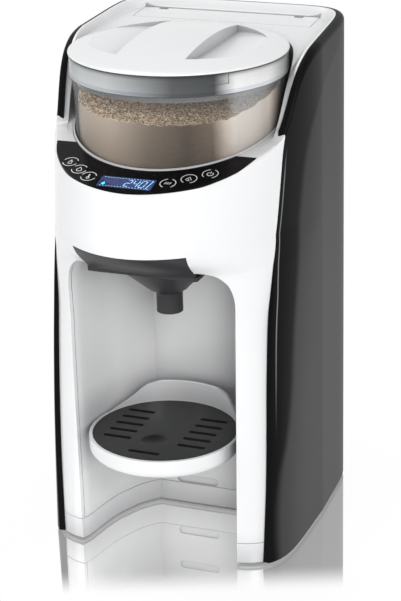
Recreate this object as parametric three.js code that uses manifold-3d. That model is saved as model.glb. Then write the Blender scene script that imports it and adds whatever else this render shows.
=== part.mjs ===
// A countertop baby formula maker, in millimetres, with +Z up and its front towards -Y.
// The origin is the middle of the surface it stands on, under the middle of its box.
import * as THREE from 'three';
import { mergeVertices } from 'three/addons/utils/BufferGeometryUtils.js';
import Module from 'manifold-3d';

const wasm = await Module();
wasm.setup();

// Clearances
const gap = 0.4;            // between parts that touch or are seated
const play = 0.8;           // round parts that slide or lift out by hand
const overrun = 5;          // how far a cutter runs past what it cuts

// The sizes that the others follow
const halfWidth = 100.5;
const rimHeight = 398;
const backReach = 95;       // from the widest plane, at midY, to the back
const trayTop = 98.4;

// Body envelope
const sideRoom = 21.3;      // from the hopper's wall to the body's side
const hopperRadius = halfWidth - sideRoom;
const noseLead = 80.8;
const noseReach = hopperRadius + noseLead; // from the widest plane forward to the chin
const midY = (noseReach - backReach) / 2;
const legTuck = 48.5;
const legReach = noseReach - legTuck;      // the same at the foot of the legs
const chinDrop = 133;
const chinHeight = rimHeight - chinDrop;
const chinSwell = 25;
const bayHeight = chinHeight - chinSwell;  // where the chin starts to swell out over the bay
const noseLean = 1 / 6;     // how far the head leans back for each unit of height
const backTaperShare = 0.05;

// Sections from the floor to the chin: share of the height, share of the extra reach, power
const legShares = [[0, 0, 6], [0.4, 0.03, 5], [0.6, 0.07, 4.3], [0.79, 0.134, 3.6], [0.93, 0.216, 3.1],
  [1, 0.3, 2.8]];
const chinShares = [[0.22, 0.43, 2.6], [0.48, 0.65, 2.35], [0.75, 0.86, 2.14], [1, 1, 2]];
const backPower = 8;

// Sloping control panel and the rim that rises behind it
const hopperLead = 36.4;
const hopperY = midY - hopperLead;
const crescentLead = 21;
const crescentY = hopperY - crescentLead;
const crescentBand = 12.8;
const crescentReach = hopperRadius + crescentBand;
const crescentTips = 4.5;
const crescentHalf = hopperRadius + crescentTips;
const crescentTuck = 30.6;
const crescentEnd = crescentY - crescentTuck;
const panelRise = 68;
const panelHeight = chinHeight + panelRise; // at the tips of the crescent
const panelSlope = 0.25;
const wingStart = 60;       // in front of the widest plane
const shoulderDrop = 6;
const shoulderHeight = rimHeight - shoulderDrop;
const shoulderPower = 1.7;
const frontEdge = 2.6;      // rounding of the head's front edge
const rearEdge = 5.6;       // rounding of the rear shell's shoulder

// Walls
const wall = 2.6;
const shellWall = 2.8;
const innerInset = shellWall + gap; // the housing inside the rear shell, and the legs in front of it
const fadeDrop = 50;
const stepFade = bayHeight - fadeDrop; // above this height the legs swell out to the shell's outline
const skirtDepth = 14;      // how far the white housing laps inside the rear shell

// Deck behind the hopper
const deckDrop = 6;
const deckBank = 7;         // width of the slope from the rim down to the deck
const deckSkin = 3;

// Base
const floorGap = 3.2;
const baseHeight = 20;
const basePlate = 2;
const baseSet = 1.4;
const footRadius = 9;
const footPin = 3;
const footSide = 24.5;      // from the body's side to a foot's middle
const footFront = 78;
const footBack = 66;
const screwHead = 3;
const screwShank = 1.5;
const screwLength = 12;
const screwSide = 26;
const screwFront = 46;
const screwBack = 34;

// Bottle bay
const bayBackSet = 20.5;
const bayBackY = midY - bayBackSet;
const bayInset = 35.5;
const bayHalf = halfWidth - bayInset;
const bayFlare = 2.6;
const legNose = 5;
const bayDepthFront = legReach - bayBackSet - legNose; // from the back wall to the nose of the legs
const coverTopDrop = 1;
const coverTop = chinHeight - coverTopDrop;
const coverTall = 18;
const coverBottom = coverTop - coverTall;
const bayCeiling = coverBottom;
const bayCorner = 33;
const slotHalf = 17.5;
const slotHeight = 7;
const slotPitch = 32;
const slotDrop = 10.4;
const slotTop = trayTop - slotDrop; // middle of the highest tray slot

// Hopper, its well and its lid
const hopperFlare = 2.2;
const hopperWall = 2.4;
const hopperSink = 30;      // from the panel's tips down to the hopper's floor
const hopperFloor = panelHeight - hopperSink;
const hopperBend = 12;
const straightShare = 0.66; // the hopper's wall is upright for this share of its height
const hopperDrop = 9.4;
const hopperTop = rimHeight - hopperDrop;
const collarHeight = 15.4;
const collarReach = 3.4;
const collarRadius = hopperRadius + collarReach;
const neckSkirt = 5;
const neckInner = 2;
const grooveDepth = 1.2;
const grooveTall = 3;
const grooveLong = 16;
const grooveDrop = 8;
const grooveTurn = -0.84;
const wellRadius = hopperRadius + play;
const wellReach = 6.4;
const wellWide = hopperRadius + wellReach;
const wellSink = 3.5;
const wellFloor = hopperFloor - wellSink;
const wellWall = 2.4;
const lipWidth = 1.3;
const lipRise = 1;
const lidRadius = collarRadius + gap;
const lidDome = 11;
const lidRise = 2.2;
const lidFlat = hopperTop + lidRise; // the dome starts here
const lidWall = 2.6;
const lidSkirt = 9;
const lidPlug = 3.4;        // the skirt stands this far inside the collar's neck
const scoopInset = 15;
const scoopRadius = lidRadius - scoopInset;
const scoopDepth = 11;
const scoopTuck = 8;
const scoopHalfY = scoopRadius - scoopTuck;
const scoopRise = 4.6;      // a scoop's floor rises this much to its rim
const gripHalf = 27;
const gasketHeight = 3;

// Dosing wheel, stirrer and drive
const spoutLead = 32.4;
const spoutY = hopperY - spoutLead;
const outletRadius = 9;
const dosingReach = 13.6;
const dosingRadius = spoutLead + dosingReach;
const dosingHeight = 7;
const pocketRadius = 7;
const pocketCount = 8;
const stirRoom = 9.2;
const stirReach = hopperRadius - stirRoom;
const stirArm = 7;
const stirHeight = 9;
const armCount = 4;
const hubRadius = 13;
const shaftRadius = 5;
const shaftFlats = 6;
const gearboxWide = 54;
const gearboxFront = 18;    // in front of the hopper's axis
const gearboxDeep = 90;
const gearboxDrop = 31.5;
const gearboxLow = wellFloor - gearboxDrop;
const gearboxTall = 23;
const gearboxPost = 4;
const motorRadius = 18;
const motorLength = 58;
const motorSet = 52;        // motor axis behind the hopper's axis

// Funnel
const bowlDrop = 5;
const bowlTop = coverBottom - bowlDrop; // top of the flange
const spoutRadius = 10.2;
const spoutWall = 1.6;
const bowlTall = 35;
const spoutTop = bowlTop - bowlTall;
const spoutLong = 14.4;
const spoutBottom = spoutTop - spoutLong;
const bowlHalf = 42;
const flangeHalf = 44;
const flangeLead = 54.2;
const flangeFront = spoutY - flangeLead;
const flangeTail = 38.8;
const flangeBack = spoutY + flangeTail;
const flangeHeight = 3;
const coverWall = 3;
const coverFoot = 42.6;     // half width of the cover's lower edge
const coverDepth = 44;      // the cover's foot runs back this far from the chin's reach
const tunnelRoom = 2;
const tunnelBack = flangeBack + tunnelRoom;
const railThick = 2.6;
const railLip = 3;
const railLead = 26.2;
const railFront = spoutY - railLead;

// Tray and grid
const gridInset = 9.1;
const gridRadius = bayHalf - gridInset;
const trayRim = 3.2;
const trayRoom = 6.9;       // from the tray's rim to the bay's back wall
const trayY = bayBackY - gridRadius - trayRim - trayRoom;
const trayHeight = 15;
const trayWall = 2.4;
const trayRound = 6;
const gridThick = 3;
const gridSlot = 4;
const gridRows = 5;
const gridPitch = 12.4;
const gridShift = 2;        // the middle row sits this far behind the tray's middle
const gridGapHalf = 17;
const gridSlotLong = 27;
const fingerHalf = 13;
const fingerInset = 12.4;
const fingerFront = gridRadius - fingerInset;
const splashHeight = 17;
const splashShares = [[0.93, 0], [0.8, 0.25], [0.69, 0.53], [0.57, 0.86], [0.41, 1]];
const tongueHalf = 15;
const tongueHeight = 5;
const tongueBite = 7.1;     // how far the tongue reaches into its slot
const tongueLong = trayRoom + tongueBite;

// Water tank
const tankSet = 28.3;
const tankY = midY + backReach - tankSet;
const tankInset = 28;
const tankHalf = halfWidth - tankInset;
const tankDeepHalf = 12.7;
const tankStand = 50;
const tankBottom = baseHeight + tankStand;
const tankDrop = 12.7;
const tankTop = rimHeight - tankDrop;
const tankWall = 2.4;
const tankRound = 8;
const tankLidReach = 1.3;   // how far the tank's lid reaches past the tank
const tankLidRound = 1;     // corners of the lid and of its opening, square enough for the lid to swing
const tankLidThick = 3;
const plugDepth = 2.5;      // the lid's plug goes this far into the tank
const plugPlay = 1.1;       // room for the plug to swing out
const hingeRadius = 2.6;
const hingePin = 1.2;
const hingeBack = 11.3;     // hinge axis behind the middle of the tank
const earInset = 15.5;
const earX = tankHalf - earInset;
const earWide = 6;
const valveRadius = 9;
const valveStem = 4.6;
const valveNose = 7;
const valveHeight = 4.7;
const valveDrop = 8;
const socketWall = 4;
const socketHeight = 12;
const shelfThick = 5.6;
const shelfDeepHalf = 15;

// Controls, placed by shares of the hopper's radius from the middle of the crescent
const overlayThick = 1.6;
const overlaySet = 1.3;     // how deep the overlay lies in the housing
const buttonShares = [[-0.707, -0.732], [-0.571, -0.843], [-0.434, -0.944], [0.345, -0.937], [0.509, -0.833],
  [0.673, -0.722]];
const buttonPlaces = buttonShares.map(([right, back]) => [
  right * hopperRadius, crescentY + back * hopperRadius]);
const buttonRadius = 6.4;
const buttonTravel = 0.8;
const buttonHeight = 3.4;
const buttonProud = 0.3;
const lcdWideShare = 0.53;
const lcdWide = lcdWideShare * hopperRadius;
const lcdDeep = 14;
const lcdShares = [-0.043, -0.99]; // the display sits a little left of the middle
const lcdX = lcdShares[0] * hopperRadius;
const lcdY = crescentY + lcdShares[1] * hopperRadius;
const lcdThick = 2.6;
const boardThick = 1.6;
const boardDrop = 9;        // below the surface of the panel
const boardInset = 5;
const boardTips = 10;       // the board stops this far in front of the overlay's tips
const switchRadius = 2.4;
const switchTall = 1.6;
const postRadius = 3;
const postShares = [0.758, -0.614];
const postX = postShares[0] * hopperRadius;
const postY = crescentY + postShares[1] * hopperRadius;

// Plumbing and power
const pumpRadius = 17;
const pumpLength = 46;
const heaterWide = 34;
const heaterDeep = 30;
const heaterTall = 96;
const heaterX = 40;
const pumpX = -45;
const plantSet = 15;
const plantY = midY + plantSet; // the pump and the heater stand here
const hoseRadius = 3.4;
const nozzleRadius = 5;
const nozzleX = 22;
const nozzleDrop = 9;
const nozzleCollar = 7;
const collarThick = 2.6;
const nozzleStub = 6;
const inletWide = 34;
const inletTall = 24;
const inletDeep = 16;
const inletX = -48;
const inletLow = 33;
const inletPocket = 11;
const inletWall = 4;
const inletPin = 1.2;
const inletPinPitch = 8.6;
const powerBoardWide = 60;
const powerBoardTall = 54;

const fine = 36;            // segments round the hopper, lid and tray
const coarse = 12;          // segments round small turned parts
const quarter = 9;          // segments in a quarter of the body's outline
const arcSteps = 3;         // segments in a quarter round corner
const crescentSteps = 22;
const ovalSides = 32;
const hoseSides = 8;
const hoseSteps = 5;        // for each point that a hose goes through
const settleTurns = 5;      // how often a ring's height is worked out again
const bendShares = [0, 0.25, 0.5, 0.75, 1];
const cornerShares = [0, 0.2, 0.4, 0.6, 0.8, 1];
const capShares = [0.25, 0.5, 0.75];
const dishShares = [0.9, 0.6, 0.3, 0];

// Solids
function facing(geometry) {
  const position = geometry.attributes.position;
  const index = geometry.index;
  const corners = [0, 1, 2].map(() => new THREE.Vector3());
  let volume = 0;
  for (let i = 0; i < index.count; i += 3) {
    corners.forEach((corner, k) => corner.fromBufferAttribute(position, index.getX(i + k)));
    volume += corners[0].dot(corners[1].clone().cross(corners[2]));
  }
  if (volume < 0) {
    for (let i = 0; i < index.count; i += 3) {
      const second = index.getX(i + 1);
      index.setX(i + 1, index.getX(i + 2));
      index.setX(i + 2, second);
    }
  }
  return geometry;
}

function solid(geometry) {
  const bare = geometry.clone();
  for (const name of Object.keys(bare.attributes)) if (name !== 'position') bare.deleteAttribute(name);
  const closed = facing(mergeVertices(bare));
  return new wasm.Manifold(new wasm.Mesh({
    numProp: 3,
    vertProperties: new Float32Array(closed.attributes.position.array),
    triVerts: new Uint32Array(closed.index.array),
  }));
}

function geometryOf(body) {
  const mesh = body.getMesh();
  const geometry = new THREE.BufferGeometry();
  geometry.setAttribute('position', new THREE.BufferAttribute(new Float32Array(mesh.vertProperties), 3));
  geometry.setIndex(new THREE.BufferAttribute(new Uint32Array(mesh.triVerts), 1));
  geometry.computeVertexNormals();
  return geometry;
}

function join(bodies) {
  return bodies.reduce((whole, body) => whole.add(body));
}

function cut(body, cutters) {
  return cutters.reduce((rest, cutter) => rest.subtract(cutter), body);
}

function shapeOf(points) {
  return new THREE.Shape(points.map(([x, y]) => new THREE.Vector2(x, y)));
}

function extrude(shape, depth) {
  return new THREE.ExtrudeGeometry(shape, { depth, bevelEnabled: false, curveSegments: arcSteps, steps: 1 });
}

function prismUp(shape, low, high) {
  return solid(extrude(shape, high - low).translate(0, 0, low));
}

// A side view outline in (y, z), carried across the part
function prismAcross(points, half) {
  const turn = new THREE.Matrix4().makeBasis(
    new THREE.Vector3(0, 1, 0), new THREE.Vector3(0, 0, 1), new THREE.Vector3(1, 0, 0));
  return solid(extrude(shapeOf(points), 2 * half).translate(0, 0, -half).applyMatrix4(turn));
}

// A front view outline in (x, z), carried from one depth to another
function prismBack(shape, front, back) {
  return solid(extrude(shape, back - front).rotateX(Math.PI / 2).translate(0, back, 0));
}

function box(wide, deep, tall, x, y, low) {
  return solid(new THREE.BoxGeometry(wide, deep, tall).translate(x, y, low + tall / 2));
}

function rod(radius, low, high, x = 0, y = 0, segments = coarse) {
  const geometry = new THREE.CylinderGeometry(radius, radius, high - low, segments);
  return solid(geometry.rotateX(Math.PI / 2).translate(x, y, (low + high) / 2));
}

function turned(points, segments = fine) {
  const profile = points.map(([radius, height]) => new THREE.Vector2(radius, height));
  return solid(new THREE.LatheGeometry(profile, segments).rotateX(Math.PI / 2));
}

function ellipse(halfX, halfY, segments = coarse) {
  const points = [];
  for (let i = 0; i < segments; i += 1) {
    const angle = (2 * Math.PI * i) / segments;
    points.push([halfX * Math.cos(angle), halfY * Math.sin(angle)]);
  }
  return points;
}

function roundedBox(halfX, halfY, radius) {
  const shape = new THREE.Shape();
  shape.moveTo(-halfX + radius, -halfY);
  shape.lineTo(halfX - radius, -halfY);
  shape.absarc(halfX - radius, -halfY + radius, radius, -Math.PI / 2, 0, false);
  shape.lineTo(halfX, halfY - radius);
  shape.absarc(halfX - radius, halfY - radius, radius, 0, Math.PI / 2, false);
  shape.lineTo(-halfX + radius, halfY);
  shape.absarc(-halfX + radius, halfY - radius, radius, Math.PI / 2, Math.PI, false);
  shape.lineTo(-halfX, -halfY + radius);
  shape.absarc(-halfX + radius, -halfY + radius, radius, Math.PI, 1.5 * Math.PI, false);
  return shape;
}

// Rings of points from the bottom up, skinned and closed at both ends
function loft(rings) {
  const count = rings[0].length;
  const points = rings.flat();
  const index = [];
  for (let level = 0; level < rings.length - 1; level += 1) {
    for (let i = 0; i < count; i += 1) {
      const a = level * count + i;
      const b = level * count + (i + 1) % count;
      index.push(a, b, b + count, a, b + count, a + count);
    }
  }
  for (const [ring, first, flip] of [[rings[0], 0, true], [rings.at(-1), points.length - count, false]]) {
    const middle = ring.reduce((sum, point) => sum.add(point), new THREE.Vector3()).divideScalar(count);
    points.push(middle);
    for (let i = 0; i < count; i += 1) {
      const pair = [first + i, first + (i + 1) % count];
      index.push(...(flip ? pair.reverse() : pair), points.length - 1);
    }
  }
  const geometry = new THREE.BufferGeometry().setFromPoints(points);
  return solid(geometry.setIndex(index));
}

// Body outline
function section(height) {
  const span = noseReach - legReach;
  const rows = [
    ...legShares.map(([up, out, power]) => [up * bayHeight, legReach + out * span, power]),
    ...chinShares.map(([up, out, power]) => [bayHeight + up * chinSwell, legReach + out * span, power]),
  ];
  if (height >= chinHeight) return [noseReach - noseLean * (height - chinHeight), rows.at(-1)[2]];
  const next = Math.max(1, rows.findIndex(([z]) => z >= height));
  const [low, lowReach, lowPower] = rows[next - 1];
  const [high, highReach, highPower] = rows[next];
  const part = Math.max(0, (height - low) / (high - low));
  return [lowReach + part * (highReach - lowReach), lowPower + part * (highPower - lowPower)];
}

function outlinePoint(angle, height, inset) {
  const [reach, frontPower] = section(height);
  const front = Math.sin(angle) < 0;
  const power = front ? frontPower : backPower;
  const share = (value) => Math.sign(value) * Math.abs(value) ** (2 / power);
  const y = share(Math.sin(angle)) * ((front ? reach : backReach) - inset);
  const taper = front ? 1 : 1 - backTaperShare * (y / backReach);
  return new THREE.Vector3(share(Math.cos(angle)) * (halfWidth - inset) * taper, midY + y, height);
}

function ring(level, inset) {
  const points = [];
  for (let i = 0; i < 4 * quarter; i += 1) {
    const angle = (Math.PI / 2) * (i / quarter);
    let point = outlinePoint(angle, chinHeight, 0);
    for (let turn = 0; turn < settleTurns; turn += 1) {
      const height = typeof level === 'function' ? level(point.y) : level;
      point = outlinePoint(angle, height, typeof inset === 'function' ? inset(point.y, height) : inset);
    }
    points.push(point);
  }
  return points;
}

function panelZ(y) {
  return panelHeight + panelSlope * (y - crescentY);
}

// Height of the body's upper edge: the sloping panel, then the shoulder, then the rim
function edgeHeight(y) {
  const start = midY - wingStart;
  if (y <= start) return panelZ(y);
  if (y >= midY) return shoulderHeight + (rimHeight - shoulderHeight) * ((y - midY) / backReach);
  const part = (y - start) / wingStart;
  const rise = (1 - (1 - part) ** shoulderPower) ** (1 / shoulderPower);
  return panelZ(start) + (shoulderHeight - panelZ(start)) * rise;
}

function edgeRound(y) {
  const part = THREE.MathUtils.smoothstep(y, midY - wingStart, midY);
  return frontEdge + part * (rearEdge - frontEdge);
}

const levels = [legShares[0][0], baseHeight, ...legShares.slice(1).map(([up]) => up * bayHeight),
  ...chinShares.map(([up]) => bayHeight + up * chinSwell)];
const capInsets = capShares.map((share) => share * halfWidth);

// The whole body drawn in by an inset, up to the height that rim gives, with its upper edge rounded or sharp
function envelope(bottom, inset, rim, sharp = false) {
  const at = typeof inset === 'function' ? inset : () => inset;
  const top = at(0, rimHeight);
  const radius = (y) => Math.max(edgeRound(y) - top, gap / 2);
  const rings = [bottom, ...levels.filter((z) => z > bottom)].map((z) => ring(z, at));
  rings.push(ring((y) => (chinHeight + rim(y)) / 2, at));
  if (sharp) rings.push(ring(rim, at));
  else {
    for (const turn of [0, Math.PI / 4, Math.PI / 2]) {
      rings.push(ring((y) => rim(y) - radius(y) * (1 - Math.sin(turn)),
        (y) => top + radius(y) * (1 - Math.cos(turn))));
    }
  }
  for (const more of capInsets) rings.push(ring(rim, top + rearEdge + more));
  return loft(rings);
}

// The band between two levels measured from the plane of the panel
function planeBand(low, high) {
  const front = -noseReach - overrun;
  const back = midY;
  return prismAcross([[front, panelZ(front) + low], [back, panelZ(back) + low],
    [back, panelZ(back) + high], [front, panelZ(front) + high]], halfWidth + overrun);
}

// Everything in front of the seam between the white housing and the rear shell, moved forward by shift
const seamTuck = 11.5;
const seamBase = legReach - seamTuck;
const seamShares = [[0, 1], [0.19, 0.958], [0.35, 0.924], [0.48, 0.878], [0.54, 0.843], [0.61, 0.8],
  [0.69, 0.726], [0.76, 0.674], [0.81, 0.639], [0.846, 0.6]];

function seamPoints(shift) {
  return seamShares.map(([up, out]) => [midY - out * seamBase - shift, up * rimHeight]);
}

function inFrontOfSeam(shift) {
  const seam = seamPoints(shift);
  const front = -noseReach - overrun;
  return prismAcross([[front, -overrun], [seam[0][0], -overrun], ...seam, [seam.at(-1)[0], 2 * rimHeight],
    [front, 2 * rimHeight]], halfWidth + overrun);
}

const stepIn = (y, z) => innerInset * (1 - THREE.MathUtils.smoothstep(z, stepFade, chinHeight));
const rimInset = rearEdge + gap;
const bankInset = rimInset + deckBank;
const deckLevel = (y) => Math.max(edgeHeight(y) - deckDrop, panelZ(y) + gap / 2);

// The hollow over the deck, from its floor up the sloping bank to the rim
function dish() {
  const side = (y) => THREE.MathUtils.lerp(-overrun, rimInset + lipWidth,
    THREE.MathUtils.smoothstep(y, midY - wingStart, midY - wingStart / 2));
  const rings = dishShares.map((share) => ring(deckLevel, bankInset + share * (backReach - bankInset)));
  rings.push(ring((y) => edgeHeight(y) + gap, side), ring((y) => edgeHeight(y) + rimHeight / 4, side));
  return loft(rings);
}

// The bottle bay: share of its half width, share of its depth, from the back wall to the nose of the legs
const bayShares = [[0.508, 0], [0.615, 0.087], [0.7, 0.18], [0.772, 0.302], [0.838, 0.424], [0.888, 0.581],
  [0.923, 0.75], [0.949, 0.895], [1, 1], [1.02, 1.04]];

function bayRing(height, factor, grow) {
  const right = bayShares.map(([out, along]) => [
    out * bayHalf * factor + grow, bayBackY - along * bayDepthFront + grow]);
  right.push([right.at(-1)[0], -noseReach - overrun]);
  const left = right.map(([x, y]) => [-x, y]);
  return [...left.toReversed(), ...right].map(([x, y]) => new THREE.Vector3(x, y, height));
}

function bayVoid(grow, bottom) {
  const cornerWide = bayHalf + bayFlare - bowlHalf;
  const rings = [bayRing(bottom, 1, grow)];
  for (const turn of cornerShares) {
    const angle = (turn * Math.PI) / 2;
    const half = bowlHalf + cornerWide * Math.cos(angle);
    rings.push(bayRing(bayCeiling - bayCorner + (bayCorner + grow) * Math.sin(angle), half / bayHalf, grow));
  }
  return loft(rings);
}

function traySlot(middle) {
  const slot = roundedBox(slotHalf, slotHeight / 2, slotHeight / 2 - gap);
  return prismBack(slot, bayBackY - overrun, bayBackY + wall + overrun).translate([0, 0, middle]);
}

// Front view of the funnel's cover and of the tunnel behind it
function coverShape(grow, low) {
  return shapeOf([[-coverFoot - grow, low], [coverFoot + grow, low], [coverFoot + grow, coverBottom],
    [flangeHalf + grow, coverTop + grow], [-flangeHalf - grow, coverTop + grow], [-coverFoot - grow, coverBottom]]);
}

function tunnel(grow) {
  return prismBack(coverShape(gap + grow, bayCeiling - overrun), -noseReach - overrun, tunnelBack + grow);
}

function crescentArc(halfX, halfY, middleY, endY) {
  const start = Math.asin((middleY - endY) / halfY);
  return Array.from({ length: crescentSteps + 1 }, (_, i) => {
    const angle = Math.PI + start + ((Math.PI - 2 * start) * i) / crescentSteps;
    return [halfX * Math.cos(angle), middleY + halfY * Math.sin(angle)];
  });
}

// The control panel's outline, drawn in by inset and ending at endY, between two levels from its plane
function crescent(inset, endY, low, high) {
  const outer = crescentArc(crescentHalf - inset, crescentReach - inset, crescentY, endY);
  const hole = wellRadius + lipWidth + gap + inset;
  const inner = crescentArc(hole, hole, hopperY, endY);
  return prismUp(shapeOf([...outer, ...inner.toReversed()]), chinHeight, rimHeight)
    .intersect(planeBand(low, high));
}

// The panel's frame lies in its plane, with its origin on the middle line
const panelTilt = Math.atan(panelSlope);
const panelFrame = new THREE.Matrix4().makeRotationX(panelTilt).setPosition(0, crescentY, panelHeight);
const alongPanel = (y) => (y - crescentY) / Math.cos(panelTilt);

function onPanel(geometry, x, y, low) {
  return solid(geometry.clone().translate(x, alongPanel(y), low).applyMatrix4(panelFrame));
}

function disc(radius, tall, segments = coarse) {
  const drum = new THREE.CylinderGeometry(radius, radius, tall, segments);
  return drum.rotateX(Math.PI / 2).translate(0, 0, tall / 2);
}

function plate(wide, deep, tall) {
  return new THREE.BoxGeometry(wide, deep, tall).translate(0, 0, tall / 2);
}

// Plan of the tank, grown by an amount
function tankPlan(grow, low, high, round = tankRound + grow) {
  const shape = roundedBox(tankHalf + grow, tankDeepHalf + grow, round);
  return prismUp(shape, low, high).translate([0, tankY, 0]);
}

// A tube along smooth curves through the points
function hose(points) {
  const through = points.map((point) => new THREE.Vector3(...point));
  const path = new THREE.CatmullRomCurve3(through, false, 'centripetal');
  const steps = hoseSteps * points.length;
  const round = shapeOf(ellipse(hoseRadius, hoseRadius, hoseSides));
  return solid(new THREE.ExtrudeGeometry(round, { steps, bevelEnabled: false, extrudePath: path }));
}

// Finishes
const white = { color: '#f1f1ef', roughness: 0.22, metalness: 0 };
const graphite = { color: '#5a5a5b', roughness: 0.28, metalness: 0 };
const smoke = { color: '#48494b', roughness: 0.2, metalness: 0 };
const black = { color: '#1c1c20', roughness: 0.14, metalness: 0 };
const gridBlack = { color: '#2a2a2e', roughness: 0.42, metalness: 0 };
const clear = { color: '#d9d0c6', roughness: 0.08, metalness: 0 };
const frosted = { color: '#c3c8c8', roughness: 0.18, metalness: 0 };
const rubber = { color: '#8e9190', roughness: 0.8, metalness: 0 };
const steel = { color: '#b9bcc0', roughness: 0.3, metalness: 1 };
const board = { color: '#1f5a3a', roughness: 0.5, metalness: 0 };
const blue = { color: '#3552a8', roughness: 0.3, metalness: 0 };

const maker = new THREE.Group();

function add(name, body, finish, parent = maker) {
  const mesh = new THREE.Mesh(geometryOf(body), new THREE.MeshStandardMaterial(finish));
  mesh.name = name;
  parent.add(mesh);
  return mesh;
}

// Base
const plateLow = floorGap - basePlate - gap / 2;
const corners = [[-1, -1], [1, -1], [-1, 1], [1, 1]];
const footX = halfWidth - footSide;
const footY = [midY - footFront, midY + footBack];
const screwX = halfWidth - screwSide;
const screwY = [midY - screwFront, midY + screwBack];

function basePlan(low, high, inset, baySpread) {
  return loft([ring(low, inset), ring(high, inset)]).subtract(bayVoid(baySpread, -overrun));
}

function makeBase() {
  const feet = corners.map(([side, end]) => [side * footX, footY[(end + 1) / 2]]);
  const screws = corners.map(([side, end]) => [side * screwX, screwY[(end + 1) / 2]]);

  const top = baseHeight - gap / 2;
  const outer = basePlan(floorGap, top, innerInset, 0);
  const inner = basePlan(floorGap - overrun, top + overrun, innerInset + wall, wall);
  const webWide = halfWidth - innerInset - wall / 2 - screwX;
  const bosses = screws.flatMap(([x, y]) => [
    rod(screwHead + screwShank, floorGap + gap, top, x, y),
    box(webWide, screwHead, top - floorGap - gap, x + (Math.sign(x) * webWide) / 2, y, floorGap + gap)]);
  const pilots = screws.map(([x, y]) => rod(screwShank + gap, 0, top + overrun, x, y));
  add('base_ring', cut(outer.subtract(inner).add(join(bosses).intersect(outer)), pilots), white);

  const low = plateLow;
  const skirting = basePlan(low, low + basePlate, innerInset + baseSet, baseSet);
  add('base_plate', cut(skirting, [
    ...feet.map(([x, y]) => rod(footPin + gap, 0, floorGap, x, y)),
    ...screws.map(([x, y]) => rod(screwHead + gap, 0, low + basePlate / 2, x, y)),
    ...screws.map(([x, y]) => rod(screwShank + gap, 0, floorGap, x, y))]), rubber);

  feet.forEach(([x, y], i) => {
    const pad = turned([[0, 0], [footRadius, 0], [footRadius, low - gap / 2], [footPin, low - gap / 2],
      [footPin, low + basePlate], [0, low + basePlate]], coarse);
    add(`foot_${i + 1}`, pad, rubber).position.set(x, y, 0);
  });
  screws.forEach(([x, y], i) => {
    const under = low + basePlate / 2 - gap;
    const screw = turned([[0, low], [screwHead, low], [screwHead, under], [screwShank, under],
      [screwShank, screwLength], [0, screwLength]], coarse);
    add(`base_screw_${i + 1}`, screw, steel).position.set(x, y, 0);
  });
}

// White housing: front skin, rear deck, liner of the bay and the hopper's well
const baseTop = baseHeight + gap / 2;
const lipTop = panelHeight + overrun;

function wellVoid() {
  const high = 2 * rimHeight;
  const far = 2 * noseReach;
  const overPanel = prismAcross([[-far, panelZ(-far)], [far, panelZ(far)], [far, high], [-far, high]],
    2 * halfWidth);
  const wide = rod(wellWide, wellFloor, high, 0, hopperY, fine);
  return join([rod(wellRadius, wellFloor, high, 0, hopperY, fine), wide.intersect(overPanel),
    rod(wellWide, lipTop, high, 0, hopperY, fine)]);
}

// The thin lip that stands round the hopper, a little above the panel
function wellLip() {
  const tube = rod(wellRadius + lipWidth, wellFloor, lipTop, 0, hopperY, fine)
    .subtract(rod(wellRadius, 0, rimHeight, 0, hopperY, fine));
  const under = prismAcross([[-noseReach, 0], [noseReach, 0], [noseReach, panelZ(noseReach) + lipRise],
    [-noseReach, panelZ(-noseReach) + lipRise]], halfWidth);
  return tube.intersect(under);
}

function rail(side) {
  const deep = flangeBack - railFront;
  const y = railFront + deep / 2;
  const low = bowlTop - flangeHeight - gap - railThick;
  const inner = flangeHalf + play;
  return join([
    box(railThick, deep, bayCeiling + lipWidth - low, side * (inner + railThick / 2), y, low),
    box(railThick + railLip, deep, railThick, side * (inner + (railThick - railLip) / 2), y, low)]);
}

// The space inside the white skin, kept clear of it by grow
function hollow(grow) {
  const ceiling = (y) => deckLevel(y) - deckSkin - grow;
  return envelope(-overrun, (y, z) => stepIn(y, z) + wall + grow, ceiling, true)
    .intersect(inFrontOfSeam(gap / 2 + wall + grow))
    .add(envelope(-overrun, innerInset + wall + grow, ceiling, true));
}

// What is cut out of the housing, the liner, the well and the deck alike
function housingVoids() {
  return [
    bayVoid(0, -overrun),
    tunnel(0),
    wellVoid(),
    rod(outletRadius + play, bayCeiling, wellFloor + overrun, 0, spoutY),
    rod(shaftRadius + play, coverTop, wellFloor + overrun, 0, hopperY),
    rod(nozzleRadius + gap, bayCeiling, gearboxLow, nozzleX, spoutY),
    crescent(-gap, crescentEnd + gap, -overlaySet - gap, overrun)];
}

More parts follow.
